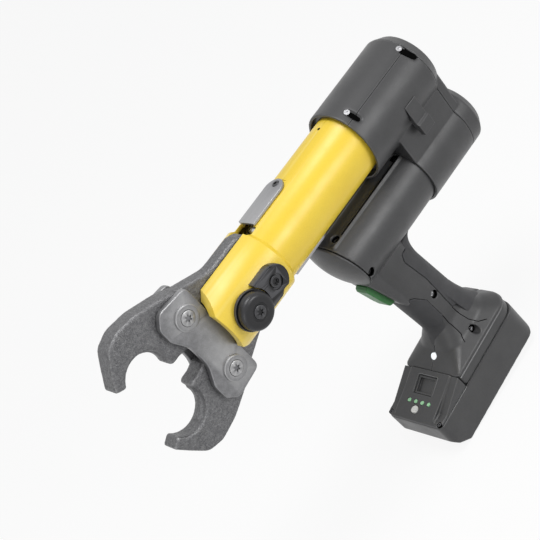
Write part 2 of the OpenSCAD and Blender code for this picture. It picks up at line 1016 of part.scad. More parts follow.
module motor_shell(left) {
    intersection() {
        difference() {
            union() {
                difference() {
                    motor_outer();
                    motor_inner();
                    battery_frame()
                        block([80, -rail_half - 0.3, joint_z - 1], [100, rail_half + 0.3, joint_z + 7.8]);
                }
                difference() {
                    bosses(left);
                    ahead_of_joint(0);
                }
                foot_rails();
            }
            inlay_band(true, 0);
            inlay_band(false, 0);
            if (left)
                screw_wells();
        }
        half_space(left);
    }
}

module screw_wells() {
    for (p = flank_screw_spots) {
        rod_y(p[2], 60, well_r, p[0], p[1]);
        rod_y(p[2] - 8, p[2] + 1, 1.45, p[0], p[1]);
    }
    for (p = pad_screw_spots)
        translate([p[0], p[1], pad_seat_z]) {
            cylinder(r = 4, h = 10, $fn = 32);
            translate([0, 0, -4])
                cylinder(r = 1.45, h = 5, $fn = 32);
        }
}

module housing_screws() {
    color(bright_steel) {
        for (p = flank_screw_spots)
            translate([p[0], p[2], p[1]])
                rotate([-90, 0, 0])
                    pan_screw(head_of_screw_r, 1.6, 1.4, p[3] > 1 ? 2.4 : 6);
        for (p = pad_screw_spots)
            translate([p[0], p[1], pad_seat_z])
                pan_screw(head_of_screw_r, 1.6, 1.4, 2.5);
    }
}

module motor_housing_left() {
    color(plastic)
        motor_shell(true);
}

module motor_housing_right() {
    color(plastic)
        motor_shell(false);
}

// Soft inlays wrap the back and the front of the handle, let into the shells.
inlay_t = 2;

// The band of the handle's skin behind or in front of the hard middle strip, moved in by t.
module inlay_band(rear, t) {
    intersection() {
        difference() {
            handle_solid(-0.5, handle_end - 8);
            handle_solid(inlay_t, handle_end - 8);
        }
        side_slab(-40, 40)
            inlay_outline(rear, t);
    }
}

// Side view limits of an inlay.
module inlay_outline(rear, t) {
    if (rear)
        polygon([
            [-10, -124 - t], [16, -112 - t], [30 - t, -110 - t], [33 - t, -118], [26 - t, -150],
            [23 - t, -196 + t], [10, -203 + t], [-12, -203 + t]
        ]);
    else
        polygon([
            [80, -152 - t], [56, -150 - t], [48 + t, -154 - t], [40 + t, -166], [37 + t, -192],
            [43 + t, -201 + t], [80, -201 + t]
        ]);
}

module inlay(rear) {
    intersection() {
        difference() {
            handle_solid(-0.4, handle_end - 8);
            handle_solid(inlay_t - 0.02, handle_end - 8);
        }
        side_slab(-40, 40)
            inlay_outline(rear, 0.1);
    }
}

module grip_inlay_rear() {
    color(soft_grip)
        inlay(true);
}

module grip_inlay_front() {
    color(soft_grip)
        inlay(false);
}

module nose_cap() {
    color(plastic)
        difference() {
            union() {
                cap_bar(barrel_in_r - 0.1, -3.5);
                cap_bar(cap_r, cap_groove);
            }
            difference() {
                rod_x(barrel_front_x - 22, barrel_front_x + 10, barrel_in_r - 3, -motor_z, fn = 96);
                ahead_of_joint(2);
            }
            boss_notch();
            nose_outside();
        }
}

// Room in the cap's spigot for the boss of the flank screw.
module boss_notch() {
    difference() {
        for (p = flank_screw_spots)
            if (p[3] > 1)
                rod_y(p[3] - 2, p[4] + 2, boss_r + 0.5, p[0], p[1]);
        ahead_of_joint(0.1);
    }
}

// Everything in front of the dome.
module nose_outside() {
    difference() {
        rod_x(barrel_front_x - 14, barrel_front_x + 20, motor_r + 5, -motor_z);
        nose_dome();
    }
}

// Motor and gears

can_x = -16;
can_front_x = 54;

module motor_can() {
    color(sheet_steel)
        difference() {
            rod_x(can_x, can_front_x, can_r, -motor_z);
            rod_x(can_x + 3, can_front_x - 3, can_r - 3, -motor_z);
            rod_x(can_x - 1, can_front_x + 1, shaft_r + fit, -motor_z);
        }
}

module motor_shaft() {
    color(bright_steel)
        rod_x(gear_x - 2, 74, shaft_r, -motor_z);
}

module motor_rotor() {
    color([0.45, 0.25, 0.15])
        difference() {
            rod_x(can_x + 8, can_front_x - 8, 19, -motor_z);
            rod_x(can_x, can_front_x, shaft_r + 0.01, -motor_z);
            for (i = [0:11])
                rotate_about_motor(i * 30)
                    block([can_x, -1.2, 16], [can_front_x, 1.2, 25]);
        }
}

module rotate_about_motor(a) {
    translate([0, 0, -motor_z])
        rotate([a, 0, 0])
            children();
}

module cooling_fan() {
    color(black_part)
        difference() {
            union() {
                rod_x(62, 72, 6, -motor_z);
                rod_x(62, 63.5, 22, -motor_z);
                for (i = [0:10])
                    rotate_about_motor(i * 360 / 11)
                        block([63, -0.8, 5], [70, 0.8, 22]);
            }
            rod_x(60, 75, shaft_r + 0.01, -motor_z);
        }
}

// The angle by which an involute has unwound at radius r from base radius rb.
function involute_turn(r, rb) = (sqrt(max(r * r / (rb * rb) - 1, 0)) * 180 / PI - acos(min(rb / r, 1)));

// A spur gear outline with backlash and slightly short tips.
function gear_points(z, m, backlash) =
    let (rp = z * m / 2)
    let (rb = rp * cos(20))
    let (ra = rp + 0.85 * m)
    let (rf = rp - 1.2 * m)
    let (half = 90 / z - backlash / rp * 90 / PI + involute_turn(rp, rb))
    [
        for (i = [0:z - 1], k = [0:9])
            let (flank = k < 5 ? k : 9 - k)
            let (r = flank == 0 ? rf : max(rb, rf) + (ra - max(rb, rf)) * (flank - 1) / 3)
            let (turn = half - (flank == 0 ? 0 : involute_turn(r, rb)))
            let (a = i * 360 / z + (k < 5 ? -turn : turn))
            [r * cos(a), r * sin(a)]
    ];

module spur_gear(z, bore, phase) {
    rotate([0, 90, 0])
        rotate([0, 0, phase])
            linear_extrude(gear_w)
                difference() {
                    polygon(gear_points(z, gear_module, 0.25));
                    circle(bore);
                }
}

module motor_pinion() {
    color(bright_steel)
        translate([gear_x, 0, -motor_z])
            spur_gear(pinion_teeth, shaft_r + 0.01, 180 + 180 / pinion_teeth);
}

pump_shaft_r = 5;

module drive_gear() {
    color(bright_steel)
        translate([gear_x, 0, shaft_z])
            spur_gear(gear_teeth, pump_shaft_r + 0.01, 0);
}

cam_x = -80;
cam_w = 8;

module pump_shaft() {
    color(bright_steel)
        union() {
            rod_x(block_rear_x + 2, gear_x + gear_w + 2, pump_shaft_r, shaft_z);
            rod_x(cam_x, cam_x + cam_w, pump_shaft_r + 2, shaft_z + 1.5);
        }
}

module shaft_bearings() {
    color(bright_steel)
        for (x = [block_front_x - 6, block_rear_x + 2])
            ring_x(x, x + 5, 9, pump_shaft_r + fit, shaft_z);
}

module pump_block() {
    color([0.62, 0.63, 0.64])
        difference() {
            union() {
                rod_x(block_rear_x, block_front_x, upper_r - wall - fit, fn = 96);
                rod_x(block_front_x - 1, cylinder_x - 0.02, block_neck_r);
                block([block_rear_x, -22, shaft_z - 14], [block_front_x, 22, 0]);
            }
            for (x = [block_front_x - 6.1, block_rear_x - 1])
                rod_x(x, x + 8.2, 9.05, shaft_z);
            rod_x(block_rear_x - 1, block_front_x + 1, pump_shaft_r + 0.6, shaft_z);
            rod_x(cam_x - 1.5, cam_x + cam_w + 1.5, pump_shaft_r + 4.5, shaft_z);
            translate([cam_x + cam_w / 2, 0, shaft_z])
                cylinder(r = plunger_r + fit, h = 34);
            rod_x(gear_x - 4, gear_x + gear_w + 1, gear_distance - pinion_teeth * gear_module / 2 + 1.8, shaft_z);
        }
}

plunger_r = 3;

module pump_plunger() {
    color(bright_steel)
        translate([cam_x + cam_w / 2, 0, shaft_z + pump_shaft_r + 3.8])
            cylinder(r = plunger_r, h = 20);
}

// Trigger and electrics

trigger_travel = 5;

trigger_top_z = -motor_z - motor_r - 1.3;

module trigger_window() {
    side_slab(-8.3, 8.3)
        polygon([
            [50, trigger_top_z + gap], [86, trigger_top_z + gap], [76, -144.3], [50, -144.3]
        ]);
}

module trigger() {
    color(green_part)
        side_slab(-8, 8)
            polygon([
                [60, trigger_top_z], [74, trigger_top_z], [76.6, trigger_top_z - 1.6],
                [77.6, trigger_top_z - 4.7], [71, -134], [68, -142], [65, -143.5], [60, -143.5]
            ]);
}

module switch_body() {
    color(black_part)
        block([32, -14 + wall + fit, -141], [53, 14 - wall - fit, -108]);
}

module control_board() {
    color([0.10, 0.32, 0.18])
        intersection() {
            block([20, -handle_half, -188], [22, handle_half, -156]);
            handle_solid(wall + 2 + fit);
        }
}

lamp_x = 78;
lamp_z = -224.6;

module lamp_at() {
    battery_frame()
        translate([lamp_x, 0, lamp_z])
            rotate([0, 40, 0])
                children();
}

module lamp_hole() {
    lamp_at()
        translate([0, 0, -9])
            cylinder(r = 3.6, h = 30, $fn = 32);
}

module lamp_lens() {
    color([0.95, 0.97, 1])
        lamp_at()
            translate([0, 0, -7])
                cylinder(r = 3.5, h = 9, $fn = 32);
}

module contact_block() {
    color(black_part)
        battery_frame()
            block([8, -16, joint_z + 8.3], [38, 16, foot_top_z - wall]);
}

// Battery

tray_top_z = joint_z - 0.3;

module tray_profile(t) {
    side_slab(-60, 60)
        polygon([
            [battery_rear_x + t, tray_top_z], [battery_front_x - t, tray_top_z],
            [battery_front_x - t, -268.5 + t * 0.6], [battery_front_x - 4.5 - t, -276 + t],
            [battery_front_x - 16, battery_base_z + t], [battery_rear_x + 7, battery_base_z + t],
            [battery_rear_x + 2 + t, battery_base_z + 3 + t], [battery_rear_x + t, battery_base_z + 8 + t]
        ]);
}

module battery_tray() {
    color(plastic)
        battery_frame()
            difference() {
                intersection() {
                    tray_profile(0);
                    translate([0, 0, battery_base_z - 1])
                        linear_extrude(60)
                            round_plan(battery_rear_x, battery_front_x, battery_half, 16, 7);
                }
                intersection() {
                    translate([0, 0, 5])
                        tray_profile(3);
                    tray_room();
                }
                tray_room_cut();
                battery_screw_holes();
            }
}

module tray_room() {
    translate([0, 0, battery_base_z + 3])
        linear_extrude(60)
            round_plan(battery_rear_x + 3, battery_front_x - 9, battery_half - 3, 13, 4);
}

module tray_room_cut() {
    intersection() {
        tray_room();
        block([battery_rear_x, -50, battery_base_z + 3], [battery_front_x - 20, 50, 0]);
    }
    intersection() {
        tray_room();
        block([battery_rear_x, -50, -268], [battery_front_x, 50, 0]);
    }
}

module battery_screw_spots() {
    for (s = [-1, 1])
        translate([battery_front_x - 4.2, s * (battery_half - 4), tray_top_z])
            children();
}

module battery_screw_holes() {
    battery_screw_spots()
        translate([0, 0, -14])
            cylinder(r = 2.1, h = 40, $fn = 32);
}

module battery_screws() {
    color(black_part)
        battery_frame()
            battery_screw_spots()
                translate([0, 0, 1.2])
                    pan_screw(2, 1, 1.5, 12);
}

// The cover closes the tray, fills the foot's rail pocket and slopes down in front of the foot.
slope_rear_z = joint_z + 15;
slope_front_z = joint_z + 2.6;

module battery_cover() {
    color(plastic)
        battery_frame()
            difference() {
                union() {
                    translate([0, 0, tray_top_z - 3])
                        linear_extrude(3.2)
                            round_plan(battery_rear_x + 3.3, battery_front_x - 9.3, battery_half - 3.3, 12, 4);
                    intersection() {
                        side_slab(-60, 60)
                            polygon([
                                [foot_front_x + 0.3, tray_top_z + 0.1], [battery_front_x, tray_top_z + 0.1],
                                [battery_front_x, slope_front_z - 1.4], [battery_front_x - 1.5, slope_front_z],
                                [battery_front_x - 14, slope_front_z], [foot_front_x + 0.3, slope_rear_z]
                            ]);
                        translate([0, 0, tray_top_z - 4])
                            linear_extrude(60)
                                round_plan(foot_front_x - 20, battery_front_x - 0.4, battery_half - 0.6, 2, 7);
                    }
                    side_slab(-27, 27)
                        polygon([
                            [foot_front_x + 0.3, tray_top_z], [battery_front_x - 3, tray_top_z],
                            [battery_front_x - 3, slope_front_z + 0.5], [battery_front_x - 6, slope_front_z + 2.5],
                            [foot_front_x + 22, slope_rear_z - 5], [foot_front_x + 0.3, slope_rear_z + 1.2]
                        ]);
                    block([8, -rail_half, tray_top_z - 1], [foot_front_x + 1, rail_half, joint_z + 7.5]);
                }
                for (s = [-1, 1])
                    translate([0, s * rail_half, 0])
                        block([7, -3, rail_z], [foot_front_x + 0.2, 3, rail_z + rail_t]);
                latch_pocket();
                button_hole();
                light_holes();
                contact_slots();
                battery_screw_holes();
                battery_screw_spots()
                    translate([0, 0, 1.1])
                        cylinder(r = 2.6, h = 30, $fn = 32);
            }
}

latch_x = foot_front_x + 4;
latch_l = 19;
latch_half = 12.8;
slope_angle = 17;

module on_slope(x, drop) {
    translate([x, 0, slope_rear_z + 1.2 - (x - foot_front_x) * tan(slope_angle) - drop])
        rotate([0, slope_angle, 0])
            children();
}

module latch_pocket() {
    on_slope(latch_x, 7)
        block([0, -latch_half, 0], [latch_l, latch_half, 30]);
}

module battery_latch() {
    color(black_part)
        battery_frame()
            on_slope(latch_x, 7)
                difference() {
                    block([gap, -latch_half + gap, 2.6], [latch_l - gap, latch_half - gap, 6]);
                    block([latch_l * 0.32, -latch_half + 3, 4.6], [latch_l - 2.5, latch_half - 3, 9]);
                }
}

light_x = 124.1;
button_x = 132;

module light_holes() {
    for (i = [0:3])
        translate([light_x, -13.5 + 9 * i, joint_z + 2])
            cylinder(r = 2.1, h = 20, $fn = 32);
}

module charge_lights() {
    color([0.75, 0.92, 0.78])
        battery_frame()
            for (i = [0:3])
                translate([light_x, -13.5 + 9 * i, joint_z + 2.1])
                    cylinder(r = 2, h = 5.9, $fn = 32);
}

module button_hole() {
    translate([button_x, -1.5, joint_z - 1.5])
        cylinder(r = 4.2, h = 20, $fn = 48);
}

module charge_button() {
    color([0.93, 0.93, 0.92])
        battery_frame()
            translate([button_x, -1.5, joint_z + 0.9])
                cylinder(r = 3.9, h = 6.1, $fn = 48);
}

module contact_slots() {
    for (i = [-2:2])
        block([10, i * 6 - 0.8, joint_z + 2], [24, i * 6 + 0.8, joint_z + 9]);
}

module battery_contacts() {
    color([0.80, 0.65, 0.35])
        battery_frame()
            for (i = [-2:2])
                block([12, i * 6 - 0.4, joint_z + 2.1], [22, i * 6 + 0.4, joint_z + 7]);
}

cell_r = 9.2;
cell_l = 65;

module battery_cells() {
    color([0.20, 0.45, 0.70])
        battery_frame()
            for (i = [0:5])
                rod_y(-cell_l / 2, cell_l / 2, cell_r, 13 + (2 * cell_r + 0.4) * i, battery_base_z + 3.05 + cell_r);
}

// The frame's origin is the middle of the battery's flat base, which the tool stands on.
rest_x = 60;
rest_point = [
    rest_x * cos(battery_tilt) + battery_base_z * sin(battery_tilt), 0,
    battery_base_z * cos(battery_tilt) - rest_x * sin(battery_tilt)
];

translate(-rest_point) {
    press_tube();
    guard_plate_upper();
    guard_plate_lower();
    guard_screws();
    catch_bracket();
    catch_button();
    locking_pin();
    pin_knob();
    knob_screw();
    tong_plate_left();
    tong_plate_right();
    jaw_pins();
    jaw_pin_screws();
    jaw_upper();
    jaw_lower();
    roller_carrier();
    roller_axles();
    roller_upper();
    roller_lower();
    ram_piston();
    return_spring();
    ram_cylinder();
    cylinder_gland();
    swivel_bush();
    collar_ring();
    rear_housing_left();
    rear_housing_right();
    top_cover();
    rear_cover();
    cover_screws();
    release_slider();
    motor_housing_left();
    motor_housing_right();
    nose_cap();
    housing_screws();
    motor_can();
    motor_shaft();
    motor_rotor();
    motor_pinion();
    cooling_fan();
    drive_gear();
    pump_shaft();
    shaft_bearings();
    pump_block();
    pump_plunger();
    trigger();
    switch_body();
    grip_inlay_rear();
    grip_inlay_front();
    control_board();
    lamp_lens();
    contact_block();
    battery_tray();
    battery_cover();
    battery_cells();
    battery_contacts();
    battery_latch();
    charge_lights();
    charge_button();
    battery_screws();
}
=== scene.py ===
import json
import math

import bmesh
import bpy
from mathutils import Matrix, Vector


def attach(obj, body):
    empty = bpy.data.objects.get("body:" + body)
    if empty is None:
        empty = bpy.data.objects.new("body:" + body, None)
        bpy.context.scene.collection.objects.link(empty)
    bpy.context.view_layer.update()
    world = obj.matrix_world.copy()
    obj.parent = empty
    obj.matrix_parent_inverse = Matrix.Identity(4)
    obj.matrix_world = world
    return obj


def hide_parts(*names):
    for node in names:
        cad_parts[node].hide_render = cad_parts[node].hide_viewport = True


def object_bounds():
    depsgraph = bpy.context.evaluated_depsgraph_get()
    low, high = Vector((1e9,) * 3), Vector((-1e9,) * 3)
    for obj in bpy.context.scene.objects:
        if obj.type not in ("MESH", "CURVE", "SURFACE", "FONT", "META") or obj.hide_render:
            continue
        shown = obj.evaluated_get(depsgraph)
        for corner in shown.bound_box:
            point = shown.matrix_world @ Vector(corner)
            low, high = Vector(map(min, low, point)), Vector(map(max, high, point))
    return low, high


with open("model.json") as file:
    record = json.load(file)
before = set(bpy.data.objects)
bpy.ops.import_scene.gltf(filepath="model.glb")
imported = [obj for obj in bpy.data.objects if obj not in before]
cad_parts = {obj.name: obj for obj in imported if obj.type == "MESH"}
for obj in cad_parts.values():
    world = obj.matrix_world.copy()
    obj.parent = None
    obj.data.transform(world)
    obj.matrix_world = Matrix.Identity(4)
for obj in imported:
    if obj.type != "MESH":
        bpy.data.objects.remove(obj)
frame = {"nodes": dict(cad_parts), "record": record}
cad_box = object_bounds()
scene = bpy.context.scene

MM = 0.001
LEFT = (0, 1, 0)
UP = (0, 0, 1)

# The frame's origin on the tool. Places on the tool are in mm: x runs forwards from the collar plane at
# the rear end of the bare tube, y to the left and z up from the tube's axis.
ORIGIN = Vector((39.9, 0.0, -289.49))
PIN_X = 182.5
PIN_R = 6.98
KNOB_SEAT = 36.3
JAW_PIN_X = 222
JAW_PIN_Z = 34.3
JAW_PIN_R = 8
CATCH_X = 150.5
GUARD_SCREW_X = 73
TUBE_HOLE_X = 6
TUBE_R = 32.5
ROLLER_X = 112
ROLLER_Z = 13.0


def at(x, y, z):
    """A place on the tool, in mm, as a point in the frame."""
    return (Vector((x, y, z)) - ORIGIN) * MM


def linear(code):
    """An sRGB hex value as the linear colour that a shader takes."""
    parts = [int(code[i:i + 2], 16) / 255 for i in (1, 3, 5)]
    return [p / 12.92 if p <= 0.04045 else ((p + 0.055) / 1.055) ** 2.4 for p in parts] + [1.0]


# Camera and studio

# The camera that was solved from the picture: its place on the tool, its three axes and its lens.
CAMERA_PLACE = (509.83, 944.19, 600.14)
CAMERA_RIGHT = Vector((-0.5626442, 0.597639, -0.5711909))
CAMERA_UP = Vector((-0.7628763, -0.1091418, 0.6372659))
CAMERA_BACK = Vector((0.3185142, 0.794302, 0.5173326))
FOCAL_LENGTH = 90.05
SENSOR_WIDTH = 36.0

# Soft boxes, as (name, place, place that it faces, edge, power), in m and W.
SOFT_BOXES = (
    ("overhead_box", (-0.05, 0.22, 1.45), (0.05, 0.0, 0.22), 0.55, 9.5),
    ("front_box", (1.25, 0.60, 0.55), (0.08, 0.0, 0.20), 0.6, 2.2),
    ("side_box", (-0.45, 1.20, 0.66), (0.0, 0.0, 0.20), 0.5, 6.0),
)
ROOM_LIGHT = 0.34
FLOOR_SIZE = 40.0
FLOOR_GAP = 0.0008
FLOOR_GLOW = 0.9


def place_camera():
    """The camera stands above the left side of the nose, rolled as the picture is."""
    data = bpy.data.cameras.new("studio_camera")
    data.sensor_width = SENSOR_WIDTH
    data.lens = FOCAL_LENGTH
    camera = bpy.data.objects.new("studio_camera", data)
    turn = Matrix((CAMERA_RIGHT, CAMERA_UP, CAMERA_BACK)).transposed().to_4x4()
    camera.matrix_world = Matrix.Translation(at(*CAMERA_PLACE)) @ turn
    scene.collection.objects.link(camera)
    scene.camera = camera


def soft_lamp(name, place, target, size, power):
    """A square soft box that faces the target."""
    data = bpy.data.lights.new(name, "AREA")
    data.shape = "SQUARE"
    data.size = size
    data.energy = power
    lamp = bpy.data.objects.new(name, data)
    aim = Vector(target) - Vector(place)
    lamp.location = place
    lamp.rotation_euler = aim.to_track_quat("-Z", "Y").to_euler()
    scene.collection.objects.link(lamp)


def add_node(tree, kind, settings=None, inputs=None):
    """Adds a node, sets its own settings, and sets or links its inputs."""
    made = tree.nodes.new(kind)
    for key, value in (settings or {}).items():
        setattr(made, key, value)
    for key, value in (inputs or {}).items():
        if isinstance(value, bpy.types.NodeSocket):
            tree.links.new(value, made.inputs[key])
        else:
            made.inputs[key].default_value = value
    return made


def cleared_tree(block):
    """The node tree of a world or material, without its nodes."""
    block.use_nodes = True
    block.node_tree.nodes.clear()
    return block.node_tree


def direct_rays(tree):
    """The light path, and a switch that is one for rays from the camera or a glossy surface."""
    path = add_node(tree, "ShaderNodeLightPath")
    switch = add_node(tree, "ShaderNodeMath", {"operation": "MAXIMUM"},
                      {0: path.outputs["Is Camera Ray"], 1: path.outputs["Is Glossy Ray"]})
    return path, switch


def light_room():
    """A white background for what is seen directly, a weaker fill for the rest, and the soft boxes."""
    scene.view_settings.view_transform = "Standard"
    world = bpy.data.worlds.new("studio_world")
    tree = cleared_tree(world)
    path, seen = direct_rays(tree)
    through = add_node(tree, "ShaderNodeMath", {"operation": "MAXIMUM"},
                       {0: seen.outputs[0], 1: path.outputs["Is Transmission Ray"]})
    fill = add_node(tree, "ShaderNodeBackground", None,
                    {"Color": linear("#F4F6F8"), "Strength": ROOM_LIGHT})
    back = add_node(tree, "ShaderNodeBackground", None, {"Color": linear("#FFFFFF"), "Strength": 1.0})
    mix = add_node(tree, "ShaderNodeMixShader", None,
                   {0: through.outputs[0], 1: fill.outputs[0], 2: back.outputs[0]})
    add_node(tree, "ShaderNodeOutputWorld", None, {"Surface": mix.outputs[0]})
    scene.world = world
    for box in SOFT_BOXES:
        soft_lamp(*box)


def lay_floor():
    """White paper under the tool, nearly as bright as the background where it is seen directly."""
    bpy.ops.mesh.primitive_plane_add(size=FLOOR_SIZE, location=(0.0, 0.0, cad_box[0][2] - FLOOR_GAP))
    floor = bpy.context.object
    floor.name = "studio_floor"
    paper = bpy.data.materials.new("white_paper_sweep")
    tree = cleared_tree(paper)
    seen = direct_rays(tree)[1]
    share = add_node(tree, "ShaderNodeMath", {"operation": "MULTIPLY"},
                     {0: seen.outputs[0], 1: FLOOR_GLOW})
    sheet = add_node(tree, "ShaderNodeBsdfDiffuse", None, {"Color": linear("#F2F2F2")})
    glow = add_node(tree, "ShaderNodeEmission", None, {"Color": linear("#FFFFFF"), "Strength": 1.0})
    mix = add_node(tree, "ShaderNodeMixShader", None,
                   {0: share.outputs[0], 1: sheet.outputs[0], 2: glow.outputs[0]})
    add_node(tree, "ShaderNodeOutputMaterial", None, {"Surface": mix.outputs[0]})
    floor.data.materials.append(paper)


# Finishes


def finish(name, colour, other, rough, metal=0.0, grain=0.5, relief=0.02, patch=9.0, spread=0.12,
           stretch=(1, 1, 1), coat=0.0, ior=1.5, strength=0.6, edge_wear_and_highlight=None, glow=0.0):
    """A finish with fine relief of one grain size, slow patches of a second colour, and convex edges
    lightened, partly as wear and partly as painted highlight; a glow paints light that the part gives out
    by itself.
    Grain, relief and patch are in mm."""
    made = bpy.data.materials.new(name)
    tree = cleared_tree(made)
    where = add_node(tree, "ShaderNodeTexCoord")
    turned = add_node(tree, "ShaderNodeMapping", None,
                      {"Vector": where.outputs["Object"], "Scale": stretch})
    fine = add_node(tree, "ShaderNodeTexNoise", {"noise_dimensions": "3D"},
                    {"Vector": turned.outputs[0], "Scale": 1.0 / (grain * MM), "Detail": 3.0,
                     "Roughness": 0.55})
    slow = add_node(tree, "ShaderNodeTexNoise", {"noise_dimensions": "3D"},
                    {"Vector": turned.outputs[0], "Scale": 1.0 / (patch * MM), "Detail": 4.0,
                     "Roughness": 0.6})
    ramp = add_node(tree, "ShaderNodeMapRange", None,
                    {"Value": slow.outputs["Fac"], "From Min": 0.3, "From Max": 0.7,
                     "To Min": 0.0, "To Max": 1.0})
    tint = add_node(tree, "ShaderNodeMix", {"data_type": "RGBA"},
                    {"Factor": ramp.outputs[0], 6: linear(colour), 7: linear(other)})
    speck = add_node(tree, "ShaderNodeMapRange", None,
                     {"Value": fine.outputs["Fac"], "From Min": 0.25, "From Max": 0.75,
                      "To Min": 1.0 - spread, "To Max": 1.0 + spread})
    shade = add_node(tree, "ShaderNodeMix", {"data_type": "RGBA", "blend_type": "MULTIPLY"},
                     {"Factor": 1.0, 6: tint.outputs[2], 7: speck.outputs[0]})
    shape = add_node(tree, "ShaderNodeNewGeometry")
    # Convex edges are lightened: partly wear, partly painted highlight.
    edge = add_node(tree, "ShaderNodeMapRange", None,
                    {"Value": shape.outputs["Pointiness"], "From Min": 0.515, "From Max": 0.60,
                     "To Min": 0.0, "To Max": 0.75 if edge_wear_and_highlight else 0.0})
    shade = add_node(tree, "ShaderNodeMix", {"data_type": "RGBA"},
                     {"Factor": edge.outputs[0], 6: shade.outputs[2], 7: linear(edge_wear_and_highlight or colour)})
    rub = add_node(tree, "ShaderNodeMapRange", None,
                   {"Value": slow.outputs["Fac"], "From Min": 0.3, "From Max": 0.7,
                    "To Min": rough - 0.05, "To Max": rough + 0.05})
    bump = add_node(tree, "ShaderNodeBump", None,
                    {"Strength": strength, "Distance": relief * MM, "Height": fine.outputs["Fac"]})
    # The emission, where glow is set, is painted light: the part shines though it is no lamp.
    skin = add_node(tree, "ShaderNodeBsdfPrincipled", None,
                    {"Base Color": shade.outputs[2], "Roughness": rub.outputs[0], "Normal": bump.outputs[0],
                     "Metallic": metal, "IOR": ior, "Coat Weight": coat, "Coat Roughness": 0.25,
                     "Emission Color": linear(colour), "Emission Strength": glow})
    add_node(tree, "ShaderNodeOutputMaterial", None, {"Surface": skin.outputs[0]})
    return made


FINISHES = {
    # Powder coat on steel tube: satin, with the faint orange peel that baked powder keeps.
    "yellow_paint": finish("golden_yellow_powder_coat", "#EBCB3C", "#E8C637", 0.36, grain=1.4, relief=0.03,
                           patch=30, spread=0.03, coat=0.1, edge_wear_and_highlight="#EED468"),
    # Glass filled polyamide from a spark eroded mould: dark grey, with a fine even grain.
    "dark_plastic": finish("moulded_dark_grey_polyamide", "#3D3D3E", "#363637", 0.38, grain=0.55,
                           relief=0.12, patch=22, spread=0.16, edge_wear_and_highlight="#727273"),
    # Overmoulded rubber: softer, darker and duller than the housing.
    "soft_grip": finish("overmoulded_grip_rubber", "#38383A", "#323234", 0.60, grain=0.45, relief=0.06,
                        patch=15, spread=0.10, edge_wear_and_highlight="#505052"),
    # Drop forged and phosphated steel: mottled grey scale with pits that catch the light.
    "forged_steel": finish("drop_forged_phosphated_steel", "#777778", "#5B5B5D", 0.42, metal=0.75,
                           grain=0.8, relief=0.5, patch=2.2, spread=0.45, strength=0.9, edge_wear_and_highlight="#C8C8C8"),
    # Cut and phosphated plate: flatter and more even than the forgings.
    "plate_steel": finish("phosphated_steel_plate", "#808082", "#69696B", 0.38, metal=0.7, grain=0.6,
                          relief=0.12, patch=5, spread=0.20, edge_wear_and_highlight="#CCCCCC"),
    # Rolled sheet with a clear coat: light grey with streaks along the rolling direction.
    "guard_steel": finish("rolled_steel_sheet", "#8E8E91", "#808083", 0.38, metal=0.75, grain=0.5,
                          relief=0.06, patch=7, spread=0.10, stretch=(0.15, 1, 1), edge_wear_and_highlight="#C4C4C4"),
    # Turned and ground steel: bright, with fine tool marks round the part.
    "bright_steel": finish("turned_bright_steel", "#C9C9CB", "#B9B9BC", 0.24, metal=1.0, grain=0.4,
                           relief=0.03, patch=5, spread=0.05, stretch=(1, 4, 1)),
    # Black oxide on steel, oiled: nearly black satin.
    "black_metal": finish("black_oxide_steel", "#1C1C1E", "#161618", 0.32, metal=0.3, grain=0.5,
                          relief=0.05, patch=10, spread=0.10, edge_wear_and_highlight="#59595C"),
    # Moulded green ABS for the parts that a finger works.
    "green_plastic": finish("moulded_green_abs", "#266C2E", "#205E27", 0.42, grain=0.6, relief=0.03,
                            patch=12, spread=0.05),
    # Sintered bearing bronze.
    "bronze": finish("sintered_bearing_bronze", "#B98B4E", "#A67B43", 0.35, metal=1.0, grain=0.5,
                     relief=0.03, patch=6, spread=0.08),
    # Milled aluminium.
    "aluminium": finish("milled_aluminium", "#C3C5C8", "#B5B7BA", 0.34, metal=1.0, grain=0.6,
                        relief=0.03, patch=8, spread=0.05, stretch=(1, 1, 6)),
    # Enamelled copper wire on the laminated core.
    "winding": finish("enamelled_copper_winding", "#A9603A", "#7E4326", 0.35, metal=0.8, grain=0.7,
                      relief=0.15, patch=4, spread=0.25, stretch=(0.2, 1, 1)),
    # Black ABS of small inner mouldings.
    "black_plastic": finish("moulded_black_abs", "#1D1D1E", "#19191A", 0.48, grain=0.5, relief=0.03,
                            patch=12, spread=0.08),
    # Glass fibre laminate with green solder resist.
    "circuit_board": finish("green_solder_resist", "#1F5B38", "#184A2D", 0.35, grain=0.8, relief=0.03,
                            patch=3, spread=0.20),
    # Clear polycarbonate lamp cover, made to glow faintly as a painted highlight.
    "clear_lens": finish("clear_polycarbonate", "#F2F7FA", "#E9F0F4", 0.10, grain=1.5, relief=0.01,
                         patch=6, spread=0.02, ior=1.58, glow=0.6),
    # Gold plated copper blades.
    "gold_contact": finish("gold_plated_copper", "#D9B565", "#CBA656", 0.22, metal=1.0, grain=0.5,
                           relief=0.01, patch=5, spread=0.04),
    # Printed shrink tube round a cell.
    "cell_wrap": finish("blue_shrink_tube", "#27508F", "#224782", 0.30, grain=2.0, relief=0.02,
                        patch=10, spread=0.04),
    # Pale green window over a light.
    "light_window": finish("pale_green_light_window", "#A9E0B0", "#98D6A1", 0.20, grain=1.0, relief=0.01,
                           patch=3, spread=0.02),
    # White moulded button.
    "white_plastic": finish("white_moulded_abs", "#E9E9E6", "#E2E2DE", 0.35, grain=0.8, relief=0.02,
                            patch=6, spread=0.02),
}

# Near-black finish laid in deep pockets and grooves as painted shade, where next to no light comes back.
POCKET_PAINTED_SHADE = finish("painted_shade_near_black", "#070707", "#050505", 0.85, grain=0.5, relief=0.02,
                      patch=12, spread=0.05, ior=1.1)

SLOT_OF = {entry["node"]: entry["material_slot"] for entry in frame["record"]["subparts"]}


def dress(target, material):
    """Gives a piece or a CAD node one finish."""
    target.data.materials.clear()
    target.data.materials.append(material)


